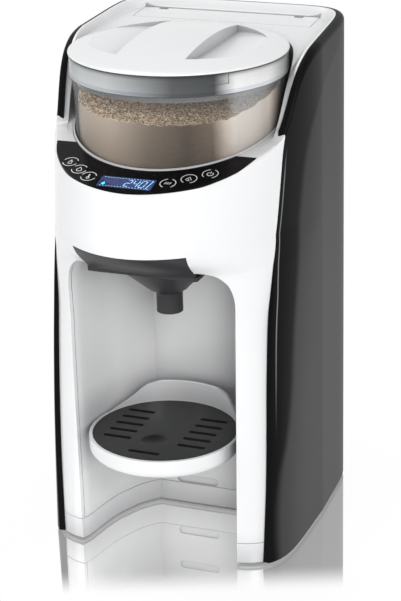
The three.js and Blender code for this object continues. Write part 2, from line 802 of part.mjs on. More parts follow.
// Outer skin of legs, head and rim, in two mouldings that meet beside the hopper
function makeHousing() {
  const front = inFrontOfSeam(gap / 2);
  const outer = join([
    envelope(baseTop, stepIn, edgeHeight).intersect(front),
    envelope(baseTop, innerInset, (y) => edgeHeight(y) - innerInset),
    envelope(chinHeight, rimInset, edgeHeight, true)]);

  const seam = seamPoints(-skirtDepth);
  const skirt = bendShares.map((share) => {
    const y = seam.at(-1)[0] + share * (midY + backReach + overrun - seam.at(-1)[0]);
    return [y, edgeHeight(y) - deckDrop - skirtDepth];
  });
  const behind = prismAcross([...seam, ...skirt, [skirt.at(-1)[0], -overrun], [seam[0][0], -overrun]],
    halfWidth + overrun);
  const skin = cut(outer, [hollow(0), behind, dish(), ...housingVoids(),
    rod(wellRadius + lipWidth + gap, wellFloor - overrun, lipTop, 0, hopperY, fine),
    tankPlan(tankLidReach + gap, tankTop - 2 * overrun, 2 * rimHeight, tankLidRound - gap),
    ...buttonPlaces.map(([x, y]) => onPanel(disc(buttonRadius + gap, 3 * overrun), x, y, -2 * overrun)),
    onPanel(plate(lcdWide, lcdDeep, 3 * overrun), lcdX, lcdY, -2 * overrun)]);
  const before = box(4 * halfWidth, 2 * noseReach, 2 * rimHeight, 0, hopperY - noseReach, 0);
  const after = box(4 * halfWidth, 2 * noseReach, 2 * rimHeight, 0, hopperY + gap + noseReach, 0);
  add('front_housing', skin.intersect(before), white);
  add('rear_deck', skin.intersect(after), white);
}

// Liner of the bottle bay with the funnel's tunnel and its rails, and the slotted plate set in its back
function makeLiner() {
  const walls = bayVoid(wall, baseTop).add(tunnel(wall)).intersect(hollow(gap));
  const slots = [0, 1, 2].map((step) => traySlot(slotTop - step * slotPitch));
  const liner = join([cut(walls, [...housingVoids(), ...slots]), rail(-1), rail(1)]);
  const backZone = (grow) => box(2 * bayHalf, 2 * bayBackSet, bayCeiling - bayCorner + grow, 0,
    bayBackY + bayBackSet - grow, 0);
  add('bay_liner', liner.subtract(backZone(gap)), white);
  add('bay_back', liner.intersect(backZone(0)), white);
}

// Cup that the hopper stands in, with its outlet and the lip that shows round the hopper
function makeWell() {
  const outletLow = coverTop + gap + wall + gap;
  const cup = join([
    rod(outletRadius + play + wellWall, outletLow, wellFloor, 0, spoutY),
    rod(wellRadius + wellWall, wellFloor - wellWall, rimHeight, 0, hopperY, fine),
    rod(wellWide + wellWall, panelHeight, rimHeight, 0, hopperY, fine)]).intersect(hollow(gap));
  add('hopper_well', cut(cup, housingVoids()).add(wellLip()), white);
}

// Dark shell round the sides and the back
function makeShell() {
  const outer = envelope(floorGap, 0, edgeHeight);
  const inner = envelope(-overrun, shellWall, (y) => edgeHeight(y) - shellWall);
  const mouth = envelope(chinHeight, rearEdge, (y) => edgeHeight(y) + rimHeight / 4, true);
  const inlet = box(inletWide + 2 * gap, 2 * inletDeep, inletTall + 2 * gap, inletX, midY + backReach,
    inletLow - gap);
  add('rear_shell', cut(outer, [inner, mouth, inFrontOfSeam(-gap / 2), inlet]), graphite);
}

// Control panel
function makeControls() {
  const top = overlayThick - overlaySet;
  const hole = disc(buttonRadius + gap / 2, 2 * overrun);
  const openings = buttonPlaces.map(([x, y]) => onPanel(hole, x, y, -overrun));
  const display = (grow, tall, low) => onPanel(
    plate(lcdWide + 2 * grow, lcdDeep + 2 * grow, tall), lcdX, lcdY, low);
  add('control_panel', cut(crescent(0, crescentEnd, -overlaySet, top),
    [...openings, display(gap / 2, 2 * overrun, -overrun)]), black);
  add('lcd_window', display(0, overlayThick, -overlaySet), blue);
  const moduleLow = -overlaySet - gap - lcdThick;
  add('lcd_module', display(-lipWidth, lcdThick, moduleLow), board);

  const stackTall = boardDrop + moduleLow - gap;
  add('control_board', join([
    crescent(boardInset, crescentEnd - boardTips, -boardDrop - boardThick, -boardDrop),
    display(-2 * lipWidth, stackTall + gap, -boardDrop - gap),
    ...buttonPlaces.map(([x, y]) => onPanel(disc(switchRadius, switchTall + gap, quarter), x, y,
      -boardDrop - gap)),
    ...[-postX, postX].map((x) => onPanel(disc(postRadius, boardDrop - deckSkin, quarter), x, postY,
      -boardDrop - gap))]), board);

  const sloped = new THREE.Group();
  sloped.applyMatrix4(panelFrame);
  maker.add(sloped);
  const capLow = top + buttonProud - buttonHeight;
  const stemLow = -boardDrop + switchTall + buttonTravel + gap;
  buttonPlaces.forEach(([x, y], i) => {
    const stem = disc(switchRadius, capLow - stemLow + gap, quarter).translate(0, 0, stemLow - capLow);
    const button = solid(disc(buttonRadius, buttonHeight)).add(solid(stem));
    add(`button_${i + 1}`, button, black, sloped).position.set(x, alongPanel(y), capLow);
  });
}

// Powder hopper with its base and its collar, the levelling gate over its outlet and the turning parts in it
const hopperLow = hopperFloor - hopperWall - gap;
// A quarter round in a turned profile, from the underside up to the wall
function bend(radius, low, size) {
  return bendShares.map((share) => {
    const angle = (share * Math.PI) / 2;
    return [radius - size + size * Math.sin(angle), low + size - size * Math.cos(angle)];
  });
}

function atHopper(body) {
  return body.translate([0, hopperY, 0]);
}

function makeHopper() {
  const high = hopperTop - collarHeight - gap;
  const straight = hopperLow + straightShare * (high - hopperLow);
  const flared = hopperRadius + hopperFlare;
  const shell = turned([[0, hopperLow], ...bend(hopperRadius, hopperLow, hopperBend),
    [hopperRadius, straight], [flared, high], [flared - hopperWall, high],
    [hopperRadius - hopperWall, straight],
    ...bend(hopperRadius - hopperWall, hopperFloor, hopperBend - hopperWall).toReversed(), [0, hopperFloor]]);
  const tub = cut(atHopper(shell), [
    rod(outletRadius, 0, rimHeight, 0, spoutY), rod(shaftRadius + play, 0, rimHeight, 0, hopperY)]);
  const seamZ = hopperLow + hopperBend;
  add('hopper', tub.subtract(rod(2 * hopperRadius, 0, seamZ, 0, hopperY)), clear);
  add('hopper_base', tub.subtract(rod(2 * hopperRadius, seamZ - gap, rimHeight, 0, hopperY)), clear);

  const low = hopperTop - collarHeight;
  const neck = flared - hopperWall - 2 * gap;
  const collar = turned([[neck - neckInner, low - neckSkirt], [neck, low - neckSkirt], [neck, low],
    [collarRadius, low], [collarRadius, hopperTop], [neck - neckInner, hopperTop],
    [neck - neckInner, low - neckSkirt]]);
  const groove = (wide, from, tall, turn) => solid(new THREE.BoxGeometry(2 * grooveDepth, wide, tall)
    .translate(collarRadius, 0, from + tall / 2).rotateZ(turn));
  const foot = hopperTop - grooveDrop;
  const reach = (grooveLong - grooveTall) / 2 / collarRadius;
  add('hopper_collar', atHopper(cut(collar, [
    groove(grooveLong, foot, grooveTall, grooveTurn),
    groove(grooveTall, foot, grooveDrop + overrun, grooveTurn + reach)])), frosted);

  const gateLow = hopperFloor + gap + dosingHeight + gap;
  const gateWide = 2 * outletRadius + overrun;
  const foreY = hopperY - (dosingRadius + hopperRadius) / 2 + wall;
  const gateBack = spoutY + outletRadius + play;
  const postBack = hopperY - dosingRadius - play;
  const gate = box(gateWide, gateBack - foreY, wall - gap, 0, (foreY + gateBack) / 2, gateLow);
  const post = box(gateWide - overrun, postBack - foreY, gateLow - hopperFloor, 0, (foreY + postBack) / 2,
    hopperFloor + gap / 2);
  add('powder_gate', gate.add(post), frosted);
}

function makeAgitator() {
  const low = hopperFloor + gap;
  const high = low + dosingHeight;
  const armLow = high + wall + gap;
  const top = armLow + stirHeight;
  const boss = hubRadius - wall;
  const reach = hopperY - spoutY;
  const pockets = Array.from({ length: pocketCount }, (_, i) => {
    const angle = (2 * Math.PI * i) / pocketCount - Math.PI / 2;
    return rod(pocketRadius, 0, rimHeight, reach * Math.cos(angle), reach * Math.sin(angle));
  });
  const wheel = turned([[0, low], [dosingRadius, low], [dosingRadius, high], [boss, high],
    [boss, armLow - gap], [boss - wall, armLow - gap], [boss - wall, top], [0, top]]);
  const socket = rod(shaftRadius + gap, 0, top - wall, 0, 0, shaftFlats);
  add('dosing_disc', atHopper(cut(wheel, [...pockets, socket])), white);

  const arms = Array.from({ length: armCount }, (_, i) => solid(plate(stirReach, stirArm, stirHeight)
    .translate(stirReach / 2, 0, armLow).rotateZ((Math.PI / 2) * (i + 0.5) * (4 / armCount))));
  add('stirring_wheel', atHopper(join([rod(hubRadius, armLow, top), ...arms])
    .subtract(rod(boss - wall + gap, 0, rimHeight))), white);
}

function makeDrive() {
  const high = gearboxLow + gearboxTall;
  const shaftLow = gearboxLow + overrun;
  const headLow = wellFloor - wellWall - gap;
  const headTop = hopperFloor + dosingHeight + overrun;
  const shaft = rod(shaftRadius, shaftLow, headLow)
    .add(rod(shaftRadius, headLow - gap, headTop, 0, 0, shaftFlats));
  add('drive_shaft', atHopper(shaft), steel);

  const middle = hopperY - gearboxFront + gearboxDeep / 2;
  const postTop = wellFloor - wellWall - gap;
  const posts = [-1, 1].flatMap((side) => [-1, 1].map((end) => rod(gearboxPost, high - gap, postTop,
    side * (gearboxWide / 2 - gearboxPost), middle + end * (gearboxDeep / 2 - gearboxPost))));
  const gearbox = prismUp(roundedBox(gearboxWide / 2, gearboxDeep / 2, gearboxPost), gearboxLow, high)
    .translate([0, middle, 0]);
  const bore = rod(shaftRadius + gap, shaftLow - gap, rimHeight, 0, hopperY);
  add('gearbox', join([gearbox, ...posts]).subtract(bore), smoke);
  const motorTop = gearboxLow - gap;
  add('gear_motor', join([rod(motorRadius, motorTop - motorLength, motorTop, 0, hopperY + motorSet),
    rod(motorRadius / 2, motorTop - motorLength - overrun, motorTop - motorLength + gap, 0,
      hopperY + motorSet)]), steel);
}

// Lid of the hopper, with two scoops that leave a grip between them
const domeShares = [1, 0.8, 0.6, 0.4, 0.2, 0];

function scoop(side, grow) {
  const low = lidFlat + lidDome - scoopDepth - grow;
  const near = gripHalf - grow;
  const far = collarRadius;
  const rise = (scoopRise * (far - gripHalf)) / (scoopRadius - gripHalf);
  const high = rimHeight + 3 * lidDome;
  const outline = [[near, low], [far, low + rise], [far, high], [near, high]];
  const round = prismUp(shapeOf(ellipse(scoopRadius + grow, scoopHalfY + grow, fine)), 0, high);
  const face = shapeOf(outline.map(([x, z]) => [side * x, z]));
  return prismBack(face, -collarRadius, collarRadius).intersect(round);
}

function makeLid() {
  const low = hopperTop + gap;
  const neck = hopperRadius + hopperFlare - hopperWall - 2 * gap - neckInner;
  const skirt = neck - lidPlug / 2;
  const dome = (radius, rise) => domeShares.map((share) => [
    share * radius, rise + lidDome * (1 - (share * radius / lidRadius) ** 2)]);
  const outer = turned([[0, low - lidSkirt], [skirt, low - lidSkirt], [skirt, low], [lidRadius - gap, low],
    [lidRadius, low + gap], [lidRadius, lidFlat - gap],
    ...dome(lidRadius - gap, lidFlat - lidDome * gap / lidRadius)]);
  const inner = turned([[0, low - lidSkirt - overrun], [skirt - lidWall, low - lidSkirt - overrun],
    ...dome(skirt - lidWall, lidFlat - lidWall)]);
  const bulges = [-1, 1].map((side) => scoop(side, lidWall)).map((bulge) => bulge.intersect(outer));
  const grooveLow = low - lidSkirt / 2 - gasketHeight / 2;
  const grooveHigh = grooveLow + gasketHeight;
  const groove = turned([[skirt - wall / 2, grooveLow], [skirt + wall, grooveLow], [skirt + wall, grooveHigh],
    [skirt - wall / 2, grooveHigh], [skirt - wall / 2, grooveLow]]);
  const shell = join([outer.subtract(inner), ...bulges]);
  add('lid', atHopper(cut(shell, [scoop(-1, 0), scoop(1, 0), groove])), white);

  const ringLow = grooveLow + gap / 2;
  const ringHigh = grooveHigh - gap / 2;
  const within = skirt - wall / 2 + gap;
  add('lid_gasket', atHopper(turned([[within, ringLow], [neck - gap, ringLow], [neck - gap, ringHigh],
    [within, ringHigh], [within, ringLow]])), rubber);
}

// Funnel under the outlet, on two rails, and its cover in the chin
function ovalRing(height, halfX, halfY, middle) {
  return ellipse(halfX, halfY, ovalSides).map(([x, y]) => new THREE.Vector3(x, middle + y, height));
}

function makeFunnel() {
  const low = bowlTop - flangeHeight;
  const middle = (flangeFront + flangeBack) / 2;
  const deepHalf = (flangeBack - flangeFront) / 2 - spoutWall;
  const round = (height, radius) => ovalRing(height, radius, radius, spoutY);
  const bowl = loft([round(spoutBottom, spoutRadius), round(spoutTop, spoutRadius),
    ovalRing(low + gap, bowlHalf - spoutWall, deepHalf, middle)]);
  const flange = prismUp(roundedBox(flangeHalf, (flangeBack - flangeFront) / 2, flangeHeight), low, bowlTop)
    .translate([0, middle, 0]).intersect(bayVoid(-play, baseHeight));
  const inside = loft([round(spoutBottom - overrun, spoutRadius - spoutWall),
    round(spoutTop + gap, spoutRadius - spoutWall),
    ovalRing(low + gap, bowlHalf - 2 * spoutWall, deepHalf - spoutWall, middle),
    ovalRing(bowlTop + overrun, bowlHalf - 2 * spoutWall, deepHalf - spoutWall, middle)]);
  add('funnel', bowl.add(flange).subtract(inside), smoke);

  const foot = bowlTop + gap;
  const skin = envelope(foot - overrun, 0, edgeHeight, true)
    .subtract(envelope(foot - 2 * overrun, coverWall, (y) => edgeHeight(y) + overrun, true))
    .intersect(prismBack(coverShape(0, foot), -noseReach - overrun, -noseReach / 2));
  const seat = box(2 * (coverFoot - coverWall), noseReach, coverBottom + coverWall - foot, 0,
    midY - noseReach + coverDepth - noseReach / 2, foot)
    .intersect(envelope(bowlTop, coverWall / 2, edgeHeight, true));
  add('funnel_cover', skin.add(seat), smoke);
}

// Tray and drip grid
function slotAcross(half, x, y) {
  const shape = roundedBox(half, gridSlot / 2, gridSlot / 2 - gap / 4);
  return prismUp(shape, trayTop - 2 * trayHeight, trayTop + overrun).translate([x, trayY + y, 0]);
}

function makeTray() {
  const rim = gridRadius + trayRim;
  const low = trayTop - trayHeight;
  const ledge = trayTop - gridThick - gap;
  const cup = turned([[0, low], ...bend(rim, low, trayRound), [rim, trayTop], [gridRadius + gap, trayTop],
    [gridRadius + gap, ledge], [gridRadius - trayWall, ledge],
    ...bend(gridRadius - trayWall, low + trayWall, trayRound - trayWall).toReversed(), [0, low + trayWall]]);
  const wallBack = turned([[rim - trayWall, trayTop - gridThick], [rim, trayTop - gridThick],
    [rim, trayTop + splashHeight], [rim - trayWall, trayTop + splashHeight],
    [rim - trayWall, trayTop - gridThick]]);
  const arch = splashShares.map(([out, up]) => [out * rim, trayTop + up * splashHeight]);
  const archLeft = arch.toReversed().map(([x, z]) => [-x, z]);
  const archShape = shapeOf([[arch[0][0], low], ...arch, ...archLeft, [archLeft.at(-1)[0], low]]);
  const splash = wallBack.intersect(prismBack(archShape, 0, 2 * rim));
  const tongue = box(2 * tongueHalf, tongueLong + trayWall, tongueHeight, 0,
    rim + (tongueLong - trayWall) / 2 - trayWall / 2, slotTop - tongueHeight / 2);
  add('tray', join([cup, splash, tongue]).translate([0, trayY, 0]), white);

  const slots = [];
  for (let row = 0; row < gridRows; row += 1) {
    const y = gridShift + (row - (gridRows - 1) / 2) * gridPitch;
    for (const side of [-1, 1]) {
      slots.push(slotAcross((gridSlotLong - gridSlot) / 2, side * (gridGapHalf + gridSlotLong / 2), y));
    }
  }
  slots.push(slotAcross(fingerHalf, 0, -fingerFront));
  add('drip_grid', cut(rod(gridRadius, trayTop - gridThick, trayTop, 0, trayY, fine), slots), gridBlack);
}

// Water tank behind the bay, with its hinged lid in the deck
const hingeY = tankY + hingeBack;
const hingeZ = deckLevel(hingeY) - hingeRadius;

function axle(radius, from, to) {
  return solid(new THREE.CylinderGeometry(radius, radius, to - from, coarse).rotateZ(Math.PI / 2)
    .translate((from + to) / 2, hingeY, hingeZ));
}

function makeTank() {
  const ears = [-1, 1].map((side) => {
    const near = Math.min(side * (earX - earWide / 2), side * (earX + earWide / 2));
    const stalkY = tankY + tankDeepHalf - tankWall / 2;
    const stalk = box(earWide, tankWall, hingeZ - tankTop + wall, side * earX, stalkY, tankTop - wall);
    return join([axle(hingeRadius, near, near + earWide), stalk]);
  });
  const shell = tankPlan(0, tankBottom, tankTop)
    .subtract(tankPlan(-tankWall, tankBottom + tankWall, tankTop + overrun));
  const bore = axle(hingePin + gap / 2, -tankHalf, tankHalf);
  const outlet = rod(valveStem + gap, 0, tankBottom + overrun, 0, tankY);
  add('water_tank', cut(join([shell, ...ears]), [bore, outlet]), clear);
  add('tank_hinge_pin', axle(hingePin, -earX - earWide / 2, earX + earWide / 2), steel);

  const noseLow = tankBottom - valveDrop;
  const flangeLow = tankBottom - gap - valveHeight;
  const valve = turned([[0, noseLow], [valveNose, noseLow], [valveNose, flangeLow], [valveRadius, flangeLow],
    [valveRadius, tankBottom - gap], [valveStem, tankBottom - gap], [valveStem, tankBottom + valveHeight],
    [0, tankBottom + valveHeight]], coarse);
  add('tank_valve', valve, white).position.set(0, tankY, 0);

  const shelfLow = tankBottom - gap - shelfThick;
  const socketTop = shelfLow - gap;
  const inner = valveNose + play;
  const socket = turned([[0, socketTop - socketHeight], [inner + socketWall, socketTop - socketHeight],
    [inner + socketWall, socketTop], [inner, socketTop], [inner, socketTop - socketHeight / 2],
    [0, socketTop - socketHeight / 2]], coarse);
  add('tank_socket', socket, white).position.set(0, tankY, 0);

  const standLow = plateLow + basePlate + gap;
  const shelf = box(2 * tankHalf, 2 * shelfDeepHalf, shelfThick, 0, tankY, shelfLow);
  const stands = [-1, 1].map((side) => box(wall, 2 * shelfDeepHalf, shelfLow + gap - standLow,
    side * (tankHalf - wall / 2), tankY, standLow));
  add('tank_shelf', cut(join([shelf, ...stands]), [rod(valveRadius + play, 0, rimHeight, 0, tankY)]), white);
}

function makeTankLid() {
  const front = tankY - 2 * tankDeepHalf;
  const back = tankY + 2 * tankDeepHalf;
  const level = (drop) => [[front, deckLevel(front) - drop], [back, deckLevel(back) - drop]];
  const slab = prismAcross([...level(tankLidThick), ...level(0).toReversed()], halfWidth);
  const panel = tankPlan(tankLidReach, tankBottom, rimHeight, tankLidRound).intersect(slab);
  const shape = roundedBox(tankHalf - tankWall - plugPlay, tankDeepHalf - tankWall - plugPlay,
    tankRound - tankWall);
  const under = (deckLevel(tankY) - tankLidThick) - (tankTop - plugDepth);
  const plugLow = tankTop - plugDepth;
  const plug = prismUp(shape, plugLow, plugLow + under + gap).translate([0, tankY, 0]);
  const core = roundedBox(tankHalf - 2 * tankWall - plugPlay, tankDeepHalf - 2 * tankWall - plugPlay,
    tankRound - 2 * tankWall);
  const inside = prismUp(core, 0, plugLow + under - gap).translate([0, tankY, 0]);
  const clearBack = box(3 * tankHalf, tankDeepHalf, rimHeight, 0, hingeY + tankDeepHalf / 2, 0);
  const notchDeep = 2 * hingeRadius + 2 * play;
  const notches = [-1, 1].map((side) => box(earWide + 2 * play, notchDeep, rimHeight, side * earX,
    hingeY, 0));
  const barrel = axle(hingeRadius, -earX + earWide / 2 + play, earX - earWide / 2 - play);
  const body = join([cut(panel.add(plug), [inside, clearBack]), barrel]);
  add('tank_lid', cut(body, [...notches, axle(hingePin + gap / 2, -tankHalf, tankHalf)]), white);
}

// Pump, heater, hoses and nozzle
const plantLow = plateLow + basePlate + gap;

function makePlumbing() {
  const pumpTop = plantLow + pumpLength;
  add('pump', join([rod(pumpRadius, plantLow, pumpTop, pumpX, plantY),
    rod(hoseRadius, pumpTop - gap, pumpTop + overrun, pumpX, plantY)]), smoke);
  const heaterTop = plantLow + heaterTall;
  add('heater', prismUp(roundedBox(heaterWide / 2, heaterDeep / 2, overrun), plantLow, heaterTop)
    .translate([heaterX, plantY, 0]), steel);

  const tunnelTop = coverTop + gap + wall;
  const seat = tunnelTop + gap;
  const stubTop = seat + collarThick + nozzleStub;
  const nozzle = turned([[0, coverTop - nozzleDrop], [nozzleRadius - spoutWall, coverTop - nozzleDrop],
    [nozzleRadius, coverTop - nozzleDrop + spoutWall], [nozzleRadius, seat], [nozzleCollar, seat],
    [nozzleCollar, seat + collarThick], [hoseRadius, seat + collarThick], [hoseRadius, stubTop],
    [0, stubTop]], coarse);
  add('water_nozzle', nozzle, white).position.set(nozzleX, spoutY, 0);

  const socketLow = tankBottom - shelfThick - 2 * gap - socketHeight;
  const feedLevel = plantLow + pumpLength / 2;
  add('feed_hose', hose([[0, tankY, socketLow - gap], [0, tankY, socketLow - pumpRadius],
    [pumpX / 3, tankY - pumpRadius / 2, feedLevel], [pumpX, plantY + 2 * pumpRadius, feedLevel],
    [pumpX, plantY + pumpRadius + gap, feedLevel]]), frosted);
  const linkLevel = pumpTop + overrun + gap;
  const heaterSide = heaterX - heaterWide / 2;
  add('link_hose', hose([[pumpX, plantY, linkLevel], [pumpX, plantY, linkLevel + pumpRadius / 2],
    [pumpX / 2, plantY, linkLevel + pumpRadius],
    [heaterSide - pumpRadius, plantY, linkLevel + pumpRadius / 2],
    [heaterSide - gap, plantY, linkLevel + pumpRadius / 2]]), frosted);
  const bendZ = wellFloor - wellWall - motorRadius;
  add('hot_hose', hose([[heaterX, plantY, heaterTop + gap], [heaterX, plantY, bendZ - 2 * motorRadius],
    [heaterX, plantY - motorRadius, bendZ], [heaterX, spoutY + motorRadius, bendZ + overrun],
    [nozzleX, spoutY, stubTop + nozzleCollar], [nozzleX, spoutY, stubTop + gap]]), frosted);
}

// Mains inlet in the back and its board
function makePower() {
  const back = midY + backReach - gap;
  const block = box(inletWide, inletDeep, inletTall, inletX, back - inletDeep / 2, inletLow);
  const pocketWide = inletWide - 2 * inletWall;
  const pocketTall = inletTall - 2 * inletWall;
  const pocket = box(pocketWide, 2 * inletPocket, pocketTall, inletX, back, inletLow + inletWall);
  const pin = () => new THREE.CylinderGeometry(inletPin, inletPin, inletPocket, quarter);
  const pinY = back - inletPocket / 2 - gap;
  const pins = [-1, 1].map((side) => solid(pin()
    .translate(inletX + (side * inletPinPitch) / 2, pinY, inletLow + inletTall / 2)));
  add('power_inlet', join([block.subtract(pocket), ...pins]), black);
  const face = back - inletDeep - gap;
  add('power_board', join([
    box(powerBoardWide, 2 * boardThick, powerBoardTall, inletX + powerBoardWide / 6, face - boardThick,
      plantLow),
    box(powerBoardWide / 3, motorRadius, powerBoardTall / 3, inletX, face - boardThick - motorRadius / 2,
      2 * plantLow + inletTall)]), board);
}

makeBase();
makeHousing();
makeLiner();
makeWell();
makeShell();
makeControls();
makeHopper();
makeAgitator();
makeDrive();
makeLid();
makeFunnel();
makeTray();
makeTank();
makeTankLid();
makePlumbing();
makePower();

export default maker;
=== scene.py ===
# A countertop baby formula maker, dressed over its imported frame: metres, +Z up, front towards -Y.
# Sizes below are in millimetres and carry the same names as in the part's source.
import math

import bpy
import numpy as np
from mathutils import Matrix, Vector


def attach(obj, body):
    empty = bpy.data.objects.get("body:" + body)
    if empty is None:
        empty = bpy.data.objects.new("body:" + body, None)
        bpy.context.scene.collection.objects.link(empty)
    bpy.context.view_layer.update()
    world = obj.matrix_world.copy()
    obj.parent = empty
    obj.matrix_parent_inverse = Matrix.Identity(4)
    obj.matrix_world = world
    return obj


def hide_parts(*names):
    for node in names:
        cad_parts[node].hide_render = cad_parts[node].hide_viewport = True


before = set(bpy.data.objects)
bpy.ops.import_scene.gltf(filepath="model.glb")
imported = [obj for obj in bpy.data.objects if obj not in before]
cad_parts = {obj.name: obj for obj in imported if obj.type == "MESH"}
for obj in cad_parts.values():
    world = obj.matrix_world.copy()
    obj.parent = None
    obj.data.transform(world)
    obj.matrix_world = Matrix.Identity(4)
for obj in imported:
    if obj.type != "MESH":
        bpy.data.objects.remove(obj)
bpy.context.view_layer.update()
mm = 0.001

# Clearances
gap = 0.4
play = 0.8
hair = 0.03                 # keeps the faces of two cutters apart
overrun = 5

# Body envelope
half_width = 100.5
nose_reach = 160
back_reach = 95
mid_y = (nose_reach - back_reach) / 2
leg_reach = 111.5
bay_height = 240
chin_height = 265
rim_height = 398
nose_lean = 1 / 6
back_taper = 0.05
back_power = 8
leg_shares = [(0, 0, 6), (0.4, 0.03, 5), (0.6, 0.07, 4.3), (0.79, 0.134, 3.6), (0.93, 0.216, 3.1),
              (1, 0.3, 2.8)]
chin_shares = [(0.22, 0.43, 2.6), (0.48, 0.65, 2.35), (0.75, 0.86, 2.14), (1, 1, 2)]
front_end = -nose_reach - overrun
across = (-half_width - overrun, half_width + overrun)

# Sloping control panel and the rim behind it
crescent_reach = 92
crescent_half = 83.7
crescent_y = mid_y - 57.4
crescent_end = mid_y - 88
panel_height = 333
panel_slope = 0.25
wing_start = 60
shoulder_height = 392
seam_base = 100
seam_shares = [(0, 1), (0.19, 0.958), (0.35, 0.924), (0.48, 0.878), (0.54, 0.843), (0.61, 0.8),
               (0.69, 0.726), (0.76, 0.674), (0.81, 0.639), (0.846, 0.6)]
front_edge = 2.6
rear_edge = 5.6

# Walls, deck and base
wall = 2.6
shell_wall = 2.8
inner_inset = shell_wall + gap
step_fade = 190
skirt_depth = 14
deck_drop = 6
deck_bank = 7
deck_skin = 3
floor_gap = 3.2
base_height = 20
base_plate = 2
base_set = 1.4
base_lead = 0.25
foot_pin = 3
screw_head = 3
screw_shank = 1.5

# Bay under the head
bay_back_y = mid_y - 20.5
bay_half = 65
bay_flare = 2.6
bay_depth_front = 86
bay_ceiling = 246
bay_corner = 33
bay_shares = [(0.508, 0), (0.615, 0.087), (0.7, 0.18), (0.772, 0.302), (0.838, 0.424), (0.888, 0.581),
              (0.923, 0.75), (0.949, 0.895), (1, 1), (1.02, 1.04)]
slot_half = 17.5
slot_height = 7
slot_pitch = 32
slot_top = 88
pocket_depth = 1.4

# Hopper, its well and its lid
hopper_y = mid_y - 36.4
hopper_radius = 79.2
hopper_flare = 2.2
hopper_wall = 2.4
hopper_floor = 303
hopper_bend = 12
hopper_top = 388.6
collar_height = 15.4
collar_radius = 82.6
collar_skirt = 5
collar_inner = 2
neck_gap = 2 * gap
well_radius = 80
well_wide = 85.6
well_floor = 299.5
well_wall = 2.4
lip_width = 1.3
lip_rise = 1
lid_radius = 83
lid_dome = 11
lid_wall = 2.6
lid_skirt = 9
lid_flat = 390.8
lid_plug = 3.4
scoop_radius = 68
scoop_depth = 11
scoop_half_y = 60
scoop_rise = 4.6
grip_half = 27
outlet_radius = 9
shaft_radius = 5
stir_reach = 70
gearbox_low = 268
powder_low = 340            # where the powder's own edge begins
powder_level = 363
powder_clear = 1.6
powder_film = 0.35
powder_edge = 0.3
ripple_height = 0.11
ripple_limit = 0.8
ripple_count = 26
wheel_top = 324

# Funnel
spout_y = mid_y - 68.8
spout_radius = 10.2
spout_wall = 1.6
spout_bottom = 191.6
spout_top = 206
bowl_half = 42
flange_half = 44
flange_front = mid_y - 123
flange_back = mid_y - 30
flange_height = 3
bowl_top = 241
cover_top = 264
cover_bottom = 246
cover_wall = 3
cover_foot = 42.6
cover_seat = 116
tunnel_back = mid_y - 28
rail_thick = 2.6
rail_lip = 3
rail_front = mid_y - 95
nozzle_radius = 5
nozzle_x = 22

# Tray and grid
tray_y = mid_y - 86.5
grid_radius = 55.9
tray_rim = 3.2
tray_height = 15
tray_top = 98.4
tray_wall = 2.4
tray_round = 6
grid_thick = 3
grid_slot = 4
grid_slot_long = 27
finger_half = 13
finger_front = 43.5
splash_height = 17
tongue_half = 15
tongue_height = 5
tongue_long = 14
tongue_round = 1.2
splash_shares = [(0.93, 0), (0.8, 0.25), (0.69, 0.53), (0.57, 0.86), (0.41, 1)]

# Water tank and its lid
tank_y = mid_y + 66.7
tank_half = 72.5
tank_deep_half = 12.7
tank_bottom = 70
tank_top = 385.3
tank_wall = 2.4
tank_round = 8
tank_lid_reach = 1.3
tank_lid_round = 1
tank_lid_thick = 3
plug_depth = 2.5
plug_play = 1.1
hinge_radius = 2.6
hinge_pin = 1.2
hinge_y = tank_y + 11.3
ear_x = 57
ear_wide = 6
valve_stem = 4.6

# Controls
overlay_thick = 1.6
overlay_set = 1.3
overlay_bevel = 0.15
button_radius = 6.4
button_height = 3.4
button_proud = 0.3
button_dish = 0.1
stem_radius = 2.4
stem_low = -6
lcd_wide = 42
lcd_deep = 14
lcd_corner = 0.6
lcd_x = -3.4
lcd_y = mid_y - 135.8
print_proud = 0.03
print_deep = 0.14
mark_deep = 0.1
ring_radius = 5.75
ring_pen = 0.62
sign_pen = 0.55
inlet_wide = 34
inlet_tall = 24
inlet_deep = 16
inlet_x = -48
inlet_low = 33

round_count = 240           # points round the body's outline
ring_passes = 7             # rounds that fit a ring to a height that follows y
lathe_count = 160           # points round the hopper, lid and tray


# Camera
def aimed(place, target):
    """An object's matrix at a place, looking at a target."""
    place, target = Vector(place), Vector(target)
    return Matrix.Translation(place) @ (target - place).to_track_quat("-Z", "Y").to_matrix().to_4x4()


def placed(name, data):
    made = bpy.data.objects.new(name, data)
    bpy.context.scene.collection.objects.link(made)
    return made


def set_camera():
    view = bpy.data.cameras.new("camera")
    camera = placed("camera", view)
    roll = Matrix.Rotation(math.radians(-1.42), 4, "Z")
    camera.matrix_world = aimed((0.5524, -1.3746, 0.7539), (0, 0.0325, 0.1672)) @ roll
    view.sensor_width = 36
    view.lens = 121.2
    view.shift_x = -0.0039
    view.shift_y = 0.0130
    view.clip_start = 0.05
    bpy.context.scene.camera = camera


set_camera()


# Shader maths
def operation(kind):
    return lambda self, other: self.join(kind, self, other)


